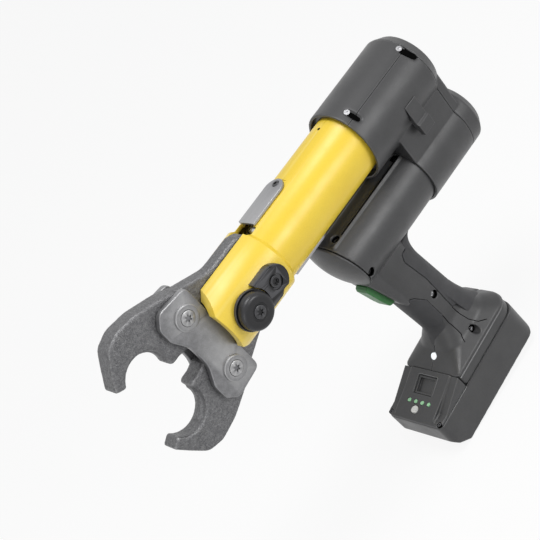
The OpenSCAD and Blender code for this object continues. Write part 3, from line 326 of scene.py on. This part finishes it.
# Modelling

BODY_OF = {node: body for body, nodes in frame["record"]["behaviour"]["bodies"].items() for node in nodes}


def take(piece):
    """Makes one object the only one that is selected and active."""
    if bpy.context.object and bpy.context.object.mode != "OBJECT":
        bpy.ops.object.mode_set(mode="OBJECT")
    for other in list(bpy.context.selected_objects):
        other.select_set(False)
    bpy.context.view_layer.objects.active = piece
    piece.select_set(True)


def open_mesh():
    """Opens the active object's mesh with everything in it selected."""
    bpy.ops.object.mode_set(mode="EDIT")
    bpy.ops.mesh.select_all(action="SELECT")


def close_mesh():
    """Turns all faces outwards and closes the mesh."""
    bpy.ops.mesh.select_all(action="SELECT")
    bpy.ops.mesh.normals_make_consistent(inside=False)
    bpy.ops.object.mode_set(mode="OBJECT")


def modify(piece, kind, **settings):
    """Adds one modifier and applies it."""
    take(piece)
    made = piece.modifiers.new(kind.lower(), kind)
    for key, value in settings.items():
        setattr(made, key, value)
    bpy.ops.object.modifier_apply(modifier=made.name)


def settle(piece, name, slot, node=None, body=None, smooth=32.0):
    """Names a finished piece, freezes its place, and puts it on its body in place of its node."""
    take(piece)
    bpy.ops.object.transform_apply(location=True, rotation=True, scale=True)
    bpy.ops.object.shade_smooth_by_angle(angle=math.radians(smooth))
    piece.name = name
    piece.data.name = name
    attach(piece, body or BODY_OF[node])
    if node:
        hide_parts(node)
    dress(piece, FINISHES[slot])


def settle_painted_shade(piece, name, slot, body, smooth=60):
    """Settles the inside of a deep pocket or groove in painted shade: a near-black finish where no light
    comes back.
    """
    settle(piece, name, slot, body=body, smooth=smooth)
    dress(piece, POCKET_PAINTED_SHADE)


def join(parts):
    """Joins several parts into the first."""
    take(parts[0])
    for part in parts[1:]:
        part.select_set(True)
    if len(parts) > 1:
        bpy.ops.object.join()
    return parts[0]


LOBE_SHARE = 0.2


def turned(start, axis, steps, sides=64, star=None):
    """A turned part: a disc drawn out along its axis through (distance, radius) steps, in mm.
    star is (radius, depth) of the six-lobed drive sunk into its end."""
    lean = Vector(axis).normalized()
    spin = lean.to_track_quat("Z", "Y")
    bpy.ops.object.select_all(action="DESELECT")
    bpy.ops.mesh.primitive_circle_add(
        vertices=sides, radius=steps[0][1] * MM, fill_type="NGON",
        location=at(*start) + lean * steps[0][0] * MM, rotation=spin.to_euler())
    part = bpy.context.object
    bpy.ops.object.transform_apply(location=False, rotation=True, scale=True)
    open_mesh()
    here, radius = steps[0]
    for there, wide in steps[1:]:
        bpy.ops.mesh.extrude_region_move()
        bpy.ops.transform.translate(value=lean * (there - here) * MM)
        if abs(wide - radius) > 1e-6:
            bpy.ops.transform.resize(value=(wide / radius,) * 3)
        here, radius = there, wide
    if star:
        bpy.ops.mesh.extrude_region_move()
        mesh = bmesh.from_edit_mesh(part.data)
        ring = [v for v in mesh.verts if v.select]
        middle = sum((v.co for v in ring), Vector()) / len(ring)
        side = spin @ Vector((1, 0, 0))
        over = spin @ Vector((0, 1, 0))
        for v in ring:
            off = v.co - middle
            turn = math.atan2(off.dot(over), off.dot(side))
            reach = star[0] * MM * (1 + LOBE_SHARE * math.cos(6 * turn))
            v.co = middle + off.normalized() * reach
        bmesh.update_edit_mesh(part.data)
        bpy.ops.mesh.extrude_region_move()
        bpy.ops.transform.translate(value=-lean * star[1] * MM)
    close_mesh()
    return part


STRAIGHT = math.radians(176)
SIDE_SHARE = 0.49


def rounded(corners, steps=8):
    """A closed outline from (x, z, radius) corners, each rounded by its own radius, in mm."""
    line = []
    count = len(corners)
    for i, (x, z, r) in enumerate(corners):
        here = Vector((x, z))
        before = Vector(corners[i - 1][:2]) - here
        after = Vector(corners[(i + 1) % count][:2]) - here
        angle = before.angle(after)
        if angle > STRAIGHT:
            line.append(here)
            continue
        reach = min(r / math.tan(angle / 2), SIDE_SHARE * before.length, SIDE_SHARE * after.length)
        first = here + before.normalized() * reach
        last = here + after.normalized() * reach
        for k in range(steps + 1):
            t = k / steps
            line.append(first * (1 - t) ** 2 + here * 2 * t * (1 - t) + last * t ** 2)
    return line


def cut_plate(outline, y_low, y_high, soft):
    """A plate: a disc whose edge is pulled to the outline, drawn out to its thickness, edges rounded."""
    bpy.ops.object.select_all(action="DESELECT")
    bpy.ops.mesh.primitive_circle_add(vertices=len(outline), radius=10 * MM, fill_type="NGON")
    part = bpy.context.object
    for vert, spot in zip(part.data.vertices, outline):
        vert.co = at(spot[0], y_low, spot[1])
    open_mesh()
    bpy.ops.mesh.extrude_region_move()
    bpy.ops.transform.translate(value=(0, (y_high - y_low) * MM, 0))
    close_mesh()
    return ease(part, soft, 3, 50)


WELD = 0.004 * MM
FLAT = math.radians(0.4)


def lift(node):
    """A welded copy of a CAD node's mesh, whose flat faces are whole again."""
    mesh = frame["nodes"][node].data.copy()
    part = bpy.data.objects.new("work", mesh)
    scene.collection.objects.link(part)
    take(part)
    if mesh.has_custom_normals:
        bpy.ops.mesh.customdata_custom_splitnormals_clear()
    open_mesh()
    bpy.ops.mesh.remove_doubles(threshold=WELD)
    bpy.ops.mesh.dissolve_limited(angle_limit=FLAT)
    bpy.ops.object.mode_set(mode="OBJECT")
    return part


def carve(part, cutters):
    """Cuts the cutters out of a part and clears them away."""
    for cutter in cutters:
        modify(part, "BOOLEAN", operation="DIFFERENCE", object=cutter, solver="EXACT")
        bpy.data.objects.remove(cutter)
    return part


def mould(part, voxel, rounds):
    """Rounds every edge as a moulding has it: an even skin of small faces, then relaxed."""
    modify(part, "REMESH", mode="VOXEL", voxel_size=voxel * MM, adaptivity=0.0)
    modify(part, "SMOOTH", factor=0.5, iterations=rounds)
    return part


def ease(part, width, segments=2, angle=35.0):
    """Breaks the sharp edges of a machined part."""
    modify(part, "BEVEL", width=width * MM, segments=segments, limit_method="ANGLE",
           angle_limit=math.radians(angle), use_clamp_overlap=True)
    return part


def slot_cutter(first, last, radius):
    """A round-ended cutter between two places, in mm."""
    a, b = Vector(first), Vector(last)
    run = b - a
    bpy.ops.object.select_all(action="DESELECT")
    bpy.ops.mesh.primitive_uv_sphere_add(segments=32, ring_count=16, radius=radius * MM,
                                         location=at(*first),
                                         rotation=run.to_track_quat("Z", "Y").to_euler())
    cutter = bpy.context.object
    bpy.ops.object.transform_apply(location=True, rotation=True, scale=True)
    middle = at(*first)
    for vert in cutter.data.vertices:
        if (vert.co - middle).dot(run) > 1e-9:
            vert.co += run * MM
    return cutter


# Press head

# Patch width and height of the forging scale, and the rounding of a forged edge.
SCALE_PATCH = 2.2
SCALE_HEIGHT = 0.35
FORGED_EDGE = 2.3


def make_jaws():
    """Forged jaws: broken edges, then a skin with the unevenness of scale."""
    scale = bpy.data.textures.new("forging_scale", "CLOUDS")
    scale.noise_scale = SCALE_PATCH * MM
    scale.noise_depth = 2
    for node in ("jaw_upper", "jaw_lower"):
        part = lift(node)
        modify(part, "BEVEL", width=FORGED_EDGE * MM, segments=3, limit_method="ANGLE",
               angle_limit=math.radians(55), use_clamp_overlap=False)
        mould(part, 0.75, 5)
        modify(part, "DISPLACE", texture=scale, strength=SCALE_HEIGHT * MM, mid_level=0.62,
               texture_coords="LOCAL")
        settle(part, "forged_" + node, "forged_steel", node)


# Lower half of a tong plate's outline, as (x, z, corner radius).
TONG_HALF = [(168, -20, 2), (204.5, -20, 3), (204.5, -53.5, 7), (237, -57, 9), (246.5, -46, 9),
             (246.5, -31, 10), (237.4, -12, 30)]
PLATE_OUTER = 16.5
PLATE_INNER = 10.2
BORE_REACH = 20


def through_bore(x, z, radius):
    """A cutter across the tool that goes through both tong plates."""
    return turned((x, 0, z), LEFT, [(-BORE_REACH, radius), (BORE_REACH, radius)])


def make_tong_plates():
    """Cut steel side plates with broken edges."""
    line = rounded(TONG_HALF + [(x, -z, r) for x, z, r in reversed(TONG_HALF)])
    for node, low, high in (("tong_plate_left", PLATE_INNER, PLATE_OUTER),
                            ("tong_plate_right", -PLATE_OUTER, -PLATE_INNER)):
        part = cut_plate(line, low, high, 0.9)
        bores = [through_bore(PIN_X, 0, PIN_R + 0.07)]
        bores += [through_bore(JAW_PIN_X, up * JAW_PIN_Z, JAW_PIN_R + 0.02) for up in (1, -1)]
        carve(part, bores)
        settle(part, "pressed_" + node, "plate_steel", node)


def make_jaw_pins():
    """Headed pins with a sunk six-lobed screw at each end."""
    heads, screws = [], []
    for up in (1, -1):
        for side in (1, -1):
            middle = (JAW_PIN_X, 0, up * JAW_PIN_Z)
            heads.append(turned(middle, (0, side, 0), [
                (0, JAW_PIN_R), (PLATE_OUTER, JAW_PIN_R), (PLATE_OUTER, 12), (18.4, 12), (19.0, 11.4),
                (19.1, 10.9), (19.1, 7.5), (18.7, 7.1), (18.1, 7.1)]))
            screws.append(turned(middle, (0, side, 0), [
                (8, 3), (18.12, 3), (18.12, 6.9), (19.3, 6.9), (19.52, 6.6)], star=(2.9, 1.1)))
    settle(join(heads), "jaw_pin_pair", "plate_steel", "jaw_pins", smooth=40)
    settle(join(screws), "jaw_pin_star_screws", "plate_steel", "jaw_pin_screws", smooth=40)


def make_knob():
    """Locking pin, and its black turned knob with flange, waist, dished face and screw."""
    knob = turned((PIN_X, KNOB_SEAT, 0), LEFT, [
        (0, 18.0), (0.4, 18.5), (2.8, 18.5), (3.2, 18.1), (3.2, 16.6), (4.2, 16.4), (4.6, 17.0),
        (8.6, 17.0), (10.6, 16.5), (12.0, 15.3), (12.8, 13.6), (13.0, 12.0), (13.0, 8.4),
        (12.6, 8.0), (12.6, 6.7), (12.3, 6.3), (12.0, 6.3)], sides=96)
    settle(knob, "locking_pin_knob", "black_metal", "pin_knob", smooth=28)
    screw = turned((PIN_X, KNOB_SEAT, 0), LEFT, [
        (5.2, 2.5), (12.02, 2.5), (12.02, 6.1), (12.9, 6.1), (13.2, 5.7)], star=(2.6, 1.0))
    settle(screw, "knob_star_screw", "black_metal", "knob_screw", smooth=40)
    pin = turned((PIN_X, 0, 0), LEFT, [
        (-38, 5.2), (-KNOB_SEAT, 6.9), (-36, PIN_R), (KNOB_SEAT, PIN_R)], sides=72)
    settle(pin, "turned_locking_pin", "bright_steel", "locking_pin", smooth=40)


def make_head_metal():
    """Machined and painted parts of the head with their edges broken, and the parts turned for them."""
    for node, name, slot, width in (
            ("press_tube", "coated_press_tube", "yellow_paint", 0.7),
            ("guard_plate_upper", "bent_guard_plate_upper", "guard_steel", 0.4),
            ("guard_plate_lower", "bent_guard_plate_lower", "guard_steel", 0.4),
            ("roller_carrier", "machined_roller_carrier", "bright_steel", 0.4),
            ("collar_ring", "turned_collar_ring", "black_metal", 0.3)):
        settle(ease(lift(node), width), name, slot, node)
    finger_bite = turned((CATCH_X - 3, 0, -18.2), LEFT, [(15, 7), (60, 7)])
    button_seat = turned((CATCH_X, 0, 0), LEFT, [(39.6, 7.4), (45, 7.6)])
    bracket = ease(carve(lift("catch_bracket"), [finger_bite, button_seat]), 0.7, 3)
    settle(bracket, "milled_catch_bracket", "black_metal", "catch_bracket")
    button = turned((CATCH_X, 0, 0), LEFT, [
        (38.6, 4.5), (39.7, 5.5), (40.4, 5.5), (40.8, 5.1), (40.8, 3.4), (40.1, 3.1)], star=(2.2, 1.0))
    settle(button, "turned_catch_button", "black_metal", "catch_button", smooth=40)
    heads = [turned((GUARD_SCREW_X, 0, 0), (0, 0, up), [
        (31, 1.9), (33.0, 1.9), (33.0, 3.4), (34.2, 3.4), (34.8, 2.9)], 40, star=(1.7, 0.9))
        for up in (1, -1)]
    settle(join(heads), "guard_plate_screws", "black_metal", "guard_screws", smooth=40)
    # A near-black cup sunk in the tube's pin hole: painted shade for the hole's inside.
    hole = turned((TUBE_HOLE_X, 0, 0), UP, [
        (30, 1.5), (TUBE_R + 0.12, 1.5), (TUBE_R + 0.12, 0.6), (TUBE_R - 1, 0.5)], 32)
    settle_painted_shade(hole, "tube_pin_hole_painted_shade", "black_metal", BODY_OF["press_tube"], 40)
    for node, up in (("roller_upper", 1), ("roller_lower", -1)):
        wheel = turned((ROLLER_X, 0, up * ROLLER_Z), LEFT, [
            (-7.2, 4.05), (-7.2, 11.8), (-6.2, 12.8), (6.2, 12.8), (7.2, 11.8), (7.2, 4.05)], sides=72)
        settle(ease(wheel, 0.2, angle=40), "hardened_" + node, "bright_steel", node, smooth=30)


# Housings

# Scoops over the cover's front screws and rear lug screws, and the near-black pads of painted shade at
# their bottoms, each as (first x, first turn, last x, last turn, height over the tube's axis, radius), with
# the turns in degrees from the top. A pad is pressed to PAD_HEIGHT, and PAD_CROWN of its roundness stays.
SCREW_SCOOPS = ((-15, 36, -15, 51, 40.9, 4.2), (-96, 44, -98, 61, 40.6, 4.4))
SCOOP_SHADE_PADS = ((-15, 38, -15, 51, 37, 3.9), (-96, 45, -98, 61, 37, 4.1))
PAD_HEIGHT = 37.1
PAD_CROWN = 0.12


def collar_point(x, turn, height):
    """A place over the tube's axis: turn is degrees from the top towards the left side."""
    return (x, height * math.sin(math.radians(turn)), height * math.cos(math.radians(turn)))


def round_ended(rows):
    """Round-ended solids along the rows, on both sides of the cover."""
    made = []
    for side in (1, -1):
        for first_x, first_turn, last_x, last_turn, height, radius in rows:
            made.append(slot_cutter(collar_point(first_x, side * first_turn, height),
                                    collar_point(last_x, side * last_turn, height), radius))
    return made


def press_flat(pad):
    """Presses a round-ended solid nearly flat at the height of a scoop's bottom."""
    middle = at(0, 0, 0)
    for vert in pad.data.vertices:
        off = Vector((0, vert.co.y - middle.y, vert.co.z - middle.z))
        high = off.length / MM
        flat = PAD_HEIGHT + (high - PAD_HEIGHT) * PAD_CROWN
        vert.co.y = middle.y + off.y * flat / high
        vert.co.z = middle.z + off.z * flat / high


def make_rear_housing():
    """Shells and covers of the rear housing with their screw scoops and the painted shade at the scoops'
    bottoms, release slider and trigger.
    """
    pads = round_ended(SCOOP_SHADE_PADS)
    for pad in pads:
        press_flat(pad)
    # Near-black pads at the scoops' bottoms: painted shade.
    settle_painted_shade(join(pads), "screw_recess_painted_shade", "black_plastic", "drive_unit")
    for node, voxel in (("rear_housing_left", 0.8), ("rear_housing_right", 0.8),
                        ("top_cover", 0.7), ("rear_cover", 0.9)):
        part = carve(lift(node), round_ended(SCREW_SCOOPS))
        settle(mould(part, voxel, 4), "moulded_" + node, "dark_plastic", node, smooth=60)
    for node, slot in (("release_slider", "dark_plastic"), ("trigger", "green_plastic")):
        settle(mould(lift(node), 0.35, 6), "moulded_" + node, slot, node, smooth=60)


# Grip and foot


def curve_points(start, bend, end, steps=10):
    """Places along a smooth bend in side view, in mm."""
    a, b, c = Vector(start), Vector(bend), Vector(end)
    shares = [k / steps for k in range(steps + 1)]
    return [a * (1 - t) ** 2 + b * 2 * t * (1 - t) + c * t * t for t in shares]


# Side view edges of the grip's rubber as (x, z), from above to below: its web under the barrel, its flare
# down to the foot behind, and its tongue down to the foot in front.
HANDLE_WEB = curve_points((-7, -103.5), (12.4, -105.0), (8.2, -136))
REAR_FLARE = curve_points((4.0, -166), (-4.4, -212), (-22.5, -230.5), 14)
FRONT_TONGUE = curve_points((52.4, -190), (48.8, -208), (55.8, -221), 10)


def drawn(edge, first_radius, last_radius, facing):
    """A round bar drawn downwards through level sections: their rearmost points (facing -1) or their
    foremost points (facing 1) follow the edge."""
    count = len(edge) - 1
    radii = [first_radius + (last_radius - first_radius) * k / count for k in range(count + 1)]
    bpy.ops.object.select_all(action="DESELECT")
    bpy.ops.mesh.primitive_circle_add(vertices=64, radius=first_radius * MM, fill_type="NGON",
                                      location=at(edge[0].x - facing * first_radius, 0, edge[0].y))
    part = bpy.context.object
    bpy.ops.object.transform_apply(location=True, rotation=True, scale=True)
    open_mesh()
    for k in range(count):
        bpy.ops.mesh.extrude_region_move()
        along = edge[k + 1].x - edge[k].x - facing * (radii[k + 1] - radii[k])
        bpy.ops.transform.translate(value=(along * MM, 0, (edge[k + 1].y - edge[k].y) * MM))
        bpy.ops.transform.resize(value=(radii[k + 1] / radii[k],) * 3)
    close_mesh()
    return part


# The handle's axis in side view, and how far from it the rubber starts behind and in front.
HANDLE_TOP = (45.3, 0, -73)
RAKE = math.radians(9.4)
REAR_RUBBER = -6.5
FRONT_RUBBER = 11


def beside_axis(part, offset, facing):
    """Keeps what lies behind (facing -1) or before (facing 1) a plane along the handle's axis."""
    take(part)
    across = Vector((math.cos(RAKE), 0, -math.sin(RAKE)))
    open_mesh()
    bpy.ops.mesh.bisect(plane_co=at(*HANDLE_TOP) + across * offset * MM, plane_no=across, use_fill=True,
                        clear_inner=facing > 0, clear_outer=facing < 0)
    close_mesh()
    return part


# Screws of the left shell, as (x, z, seat, end of the shank, depth of the well); seats are measured from
# the tool's middle. The pad's screws stand upright at (x, y), and the battery's on its front corners.
NOSE_SCREW = (71, -84, 24, 22, 5.4)
GRIP_SCREWS = ((29.5, -169.5, 13, 11, 4.6), (25.5, -226, 23.6, 16.5, 2.4))
PAD_SCREWS = ((-29, 13), (-29, -13), (69.5, 13), (69.5, -13))
BATTERY_SCREW = (138.8, 34, -245.3)

# Heights between which the neck over the foot is relaxed, and what stays crisp in it, as (x, z, radius):
# the well of the lower grip screw and the seat of the lamp.
NECK_LOW = -231
NECK_HIGH = -196
NECK_ROUNDS = 45
CRISP_PLACES = ((*GRIP_SCREWS[1][:2], 7), (65, -222, 8))


def soften(part, low, high, rounds, spared):
    """Relaxes the skin between two heights, with soft ends, away from the spared places, in mm."""
    group = part.vertex_groups.new(name="soft")
    middle, half = (low + high) / 2, (high - low) / 2
    for vert in part.data.vertices:
        spot = vert.co / MM + ORIGIN
        weight = min(1.0, (half - abs(spot.z - middle)) / 5)
        for x, z, reach in spared:
            weight = min(weight, (math.hypot(spot.x - x, spot.z - z) - reach) / 4)
        if weight > 0:
            group.add([vert.index], weight, "REPLACE")
    modify(part, "SMOOTH", factor=0.5, iterations=rounds, vertex_group="soft")
    part.vertex_groups.clear()
    return part


def make_motor_housing():
    """Shells of the motor housing with a flowing neck, the nose cap, and the grip's rubber."""
    for node in ("motor_housing_left", "motor_housing_right"):
        shell = mould(lift(node), 0.85, 6)
        soften(shell, NECK_LOW, NECK_HIGH, NECK_ROUNDS, CRISP_PLACES)
        settle(shell, "moulded_" + node, "dark_plastic", node, smooth=60)
    settle(mould(lift("nose_cap"), 0.6, 3), "moulded_nose_cap", "dark_plastic", "nose_cap", smooth=60)
    web = beside_axis(drawn(HANDLE_WEB, 14, 18.4, -1), REAR_RUBBER, -1)
    flare = beside_axis(drawn(REAR_FLARE, 18.8, 26, -1), REAR_RUBBER, -1)
    rear = mould(join([lift("grip_inlay_rear"), web, flare]), 0.55, 6)
    settle(rear, "overmoulded_grip_inlay_rear", "soft_grip", "grip_inlay_rear", smooth=60)
    tongue = beside_axis(drawn(FRONT_TONGUE, 18.8, 17, 1), FRONT_RUBBER, 1)
    front = mould(join([lift("grip_inlay_front"), tongue]), 0.5, 5)
    settle(front, "overmoulded_grip_inlay_front", "soft_grip", "grip_inlay_front", smooth=60)


# Battery

# The battery leans forwards by TILT, and its front slopes by SLOPE degrees more, from SLOPE_TOP down, which
# is (x, z) in the battery's own frame.
TILT = math.radians(4)
SLOPE = 17
SLOPE_TOP = (96, -237.02)


def tilted_mm(x, y, z):
    """A place of the battery's own tilted frame on the tool, in mm."""
    return (x * math.cos(TILT) + z * math.sin(TILT), y, -x * math.sin(TILT) + z * math.cos(TILT))


def tilted(x, y, z):
    """A place of the battery's own tilted frame as a point in the frame."""
    return at(*tilted_mm(x, y, z))


def on_slope(u, y, w):
    """A place on the battery's front slope: u down the slope from the latch, w out of it."""
    c, s = math.cos(math.radians(SLOPE)), math.sin(math.radians(SLOPE))
    return tilted(SLOPE_TOP[0] + u * c + w * s, y, SLOPE_TOP[1] - u * s + w * c)


LATCH_SCOOP = (14.2, 20.4, 6.4)
LATCH_SCOOP_PLACE = (9.6, 0, 6.4)


def make_battery():
    """Tray and cover of the battery, and its latch key with the scoop for a finger."""
    for node, voxel in (("battery_tray", 0.85), ("battery_cover", 0.7)):
        settle(mould(lift(node), voxel, 4), "moulded_" + node, "dark_plastic", node, smooth=60)
    bpy.ops.object.select_all(action="DESELECT")
    bpy.ops.mesh.primitive_cube_add(size=MM, location=on_slope(*LATCH_SCOOP_PLACE), scale=LATCH_SCOOP,
                                    rotation=(0, math.radians(SLOPE) + TILT, 0))
    scoop = bpy.context.object
    latch = mould(carve(lift("battery_latch"), [scoop]), 0.3, 5)
    settle(latch, "moulded_battery_latch", "dark_plastic", "battery_latch", smooth=60)


# Grooves and screws

SIDE_REACH = 70
SEAM_STEPS = 6
GRIP_SEAM_R = 0.4
PAD_GROOVE_R = 0.55


def side_seam(shell, points, side):
    """A fine groove line laid on a shell through (x, z) places, seen from one side."""
    spots = []
    for first, last in zip(points, points[1:]):
        for k in range(SEAM_STEPS):
            t = k / SEAM_STEPS
            x = first[0] * (1 - t) + last[0] * t
            z = first[1] * (1 - t) + last[1] * t
            hit, place, _, _ = shell.ray_cast(at(x, side * SIDE_REACH, z), Vector((0, -side, 0)))
            if hit:
                spots.append(place)
    return seam(spots, GRIP_SEAM_R)


def seam(spots, radius):
    """A thin round line through places of the frame, as a mesh."""
    line = bpy.data.curves.new("work", "CURVE")
    line.dimensions = "3D"
    line.bevel_depth = radius * MM
    line.bevel_resolution = 2
    line.use_fill_caps = True
    spline = line.splines.new("POLY")
    spline.points.add(len(spots) - 1)
    for point, spot in zip(spline.points, spots):
        point.co = (*spot, 1)
    part = bpy.data.objects.new("work", line)
    scene.collection.objects.link(part)
    take(part)
    bpy.ops.object.convert(target="MESH")
    return bpy.context.object


REAR_CORNER_X = 12.6
CORNER_STEPS = 8


def rim_path(half, z, front, corner):
    """A line round the foot or battery, from its left front round the rear to its right front."""
    path = [tilted(front, half, z), tilted(REAR_CORNER_X + 0.4, half, z)]
    for k in range(1, CORNER_STEPS):
        turn = math.radians(90 + k * 90 / CORNER_STEPS)
        path.append(tilted(REAR_CORNER_X + corner * math.cos(turn),
                           half - corner + corner * math.sin(turn), z))
    rear = REAR_CORNER_X - corner
    path += [tilted(rear, half - corner, z), tilted(rear, 0, z)]
    return path + [Vector((v.x, -v.y, v.z)) for v in path[::-1][1:]]


# Grip grooves as (x, z) in side view, pad grooves as (y, z) and the x that they pass through, and the
# right half of the latch's frame as (distance down the slope, y).
GRIP_SEAM_REAR = [(23.5, -196), (22.6, -208), (21, -217), (17, -224.5), (9, -229)]
GRIP_SEAM_FRONT = [(37, -192), (36.6, -208), (37.5, -219), (43, -227)]
PAD_GROOVES = ((7.2, -41.6), (10.9, -42.6), (17.2, -42.9))
PAD_GROOVE_RUN = (-33, 20, 64)
LATCH_FRAME = [(-0.7, -12.4), (-0.2, -13.3), (0.6, -13.6), (18.4, -13.6), (19.2, -13.3), (19.7, -12.4)]
LATCH_FRAME_HEIGHT = 6.75


def make_trim():
    """Parting grooves of grip, pad and battery as black lines of painted shade, the bead of the foot, and
    the frame of the latch.
    """
    lines = []
    for side, shell in ((1, "moulded_motor_housing_left"), (-1, "moulded_motor_housing_right")):
        for path in (GRIP_SEAM_REAR, GRIP_SEAM_FRONT):
            lines.append(side_seam(bpy.data.objects[shell], path, side))
        for y, z in PAD_GROOVES:
            lines.append(seam([at(x, side * y, z) for x in PAD_GROOVE_RUN], PAD_GROOVE_R))
    # Black lines in the grip and pad grooves: painted shade.
    settle_painted_shade(join(lines), "housing_grooves_painted_shade", "black_plastic", "drive_unit")
    # A black line round the battery's joint: painted shade in the groove.
    settle(seam(rim_path(37.75, -245.15, 92.2, 19.4), 0.75), "battery_joint_groove_painted_shade", "black_plastic",
           body="battery", smooth=60)
    settle(seam(rim_path(37.2, -233.6, 90.5, 19.2), 0.9), "foot_bead", "dark_plastic",
           body="drive_unit", smooth=60)
    whole = LATCH_FRAME + [(u, -y) for u, y in reversed(LATCH_FRAME)] + LATCH_FRAME[:1]
    latch_frame = [on_slope(u, y, LATCH_FRAME_HEIGHT) for u, y in whole]
    settle(seam(latch_frame, 0.65), "latch_frame", "dark_plastic", body="battery", smooth=60)


SHANK_R = 1.9
HEAD_R = 2.7
WELL_R = 4.1
PAD_WELL_R = 3.9
PAD_SEAT = -47
SHADE_CUP_WALL = 0.25


def shade_cup(start, axis, low, high, radius):
    """Painted shade inside a screw well: a thin near-black cup round the screw's head."""
    inner = radius - SHADE_CUP_WALL
    return turned(start, axis, [(low, radius), (high, radius), (high, inner), (low + SHADE_CUP_WALL, inner),
                                (low + SHADE_CUP_WALL, SHANK_R), (low, SHANK_R)], 48)


def star_screw(start, axis, root, seat, edge, crown):
    """A small screw with a six-lobed drive: edge and crown are the heights of its head over the seat."""
    return turned(start, axis, [(root, SHANK_R), (seat, SHANK_R), (seat, HEAD_R), (seat + edge, HEAD_R),
                                (seat + crown, HEAD_R - 0.5)], 32, star=(1.3, 0.9))


def make_housing_screws():
    """Star screws of the motor housing: blackened in nose and pad, bright in the grip; and painted shade in
    the wells.
    """
    bright, dark, shade_cups = [], [], []
    for group, screws in ((dark, (NOSE_SCREW,)), (bright, GRIP_SCREWS)):
        for x, z, seat, root, depth in screws:
            shade_cups.append(shade_cup((x, 0, z), LEFT, seat + 0.05, seat + depth, WELL_R))
            group.append(star_screw((x, 0, z), LEFT, root, seat, 1.3, 2.1))
    for x, y in PAD_SCREWS:
        shade_cups.append(shade_cup((x, y, 0), UP, PAD_SEAT + 0.05, PAD_SEAT + 3.6, PAD_WELL_R))
        dark.append(star_screw((x, y, 0), UP, PAD_SEAT - 2.5, PAD_SEAT, 1.1, 1.8))
    settle(join(bright), "handle_star_screws", "bright_steel", "housing_screws", smooth=40)
    settle(join(dark), "blackened_star_screws", "black_metal", body="drive_unit", smooth=40)
    x, y, z = BATTERY_SCREW
    wells = [turned(tilted_mm(x, side * y, z), (math.sin(TILT), 0, math.cos(TILT)), [
        (0.6, 2.8), (2.5, 2.8), (2.5, 2.5), (1.4, 2.2), (1.0, 2.1)], 40) for side in (1, -1)]
    # Near-black cups in the battery's screw wells and round the housing screws: painted shade.
    settle_painted_shade(join(wells), "battery_screw_well_shade", "black_plastic", "battery", 40)
    settle_painted_shade(join(shade_cups), "housing_screw_well_shade_cups", "black_plastic", "drive_unit", 40)


MAKERS = (make_jaws, make_tong_plates, make_jaw_pins, make_knob, make_head_metal,
          make_rear_housing, make_motor_housing, make_battery, make_trim, make_housing_screws)

place_camera()
light_room()
lay_floor()
for name, part in frame["nodes"].items():
    dress(part, FINISHES[SLOT_OF[name]])
for make in MAKERS:
    make()
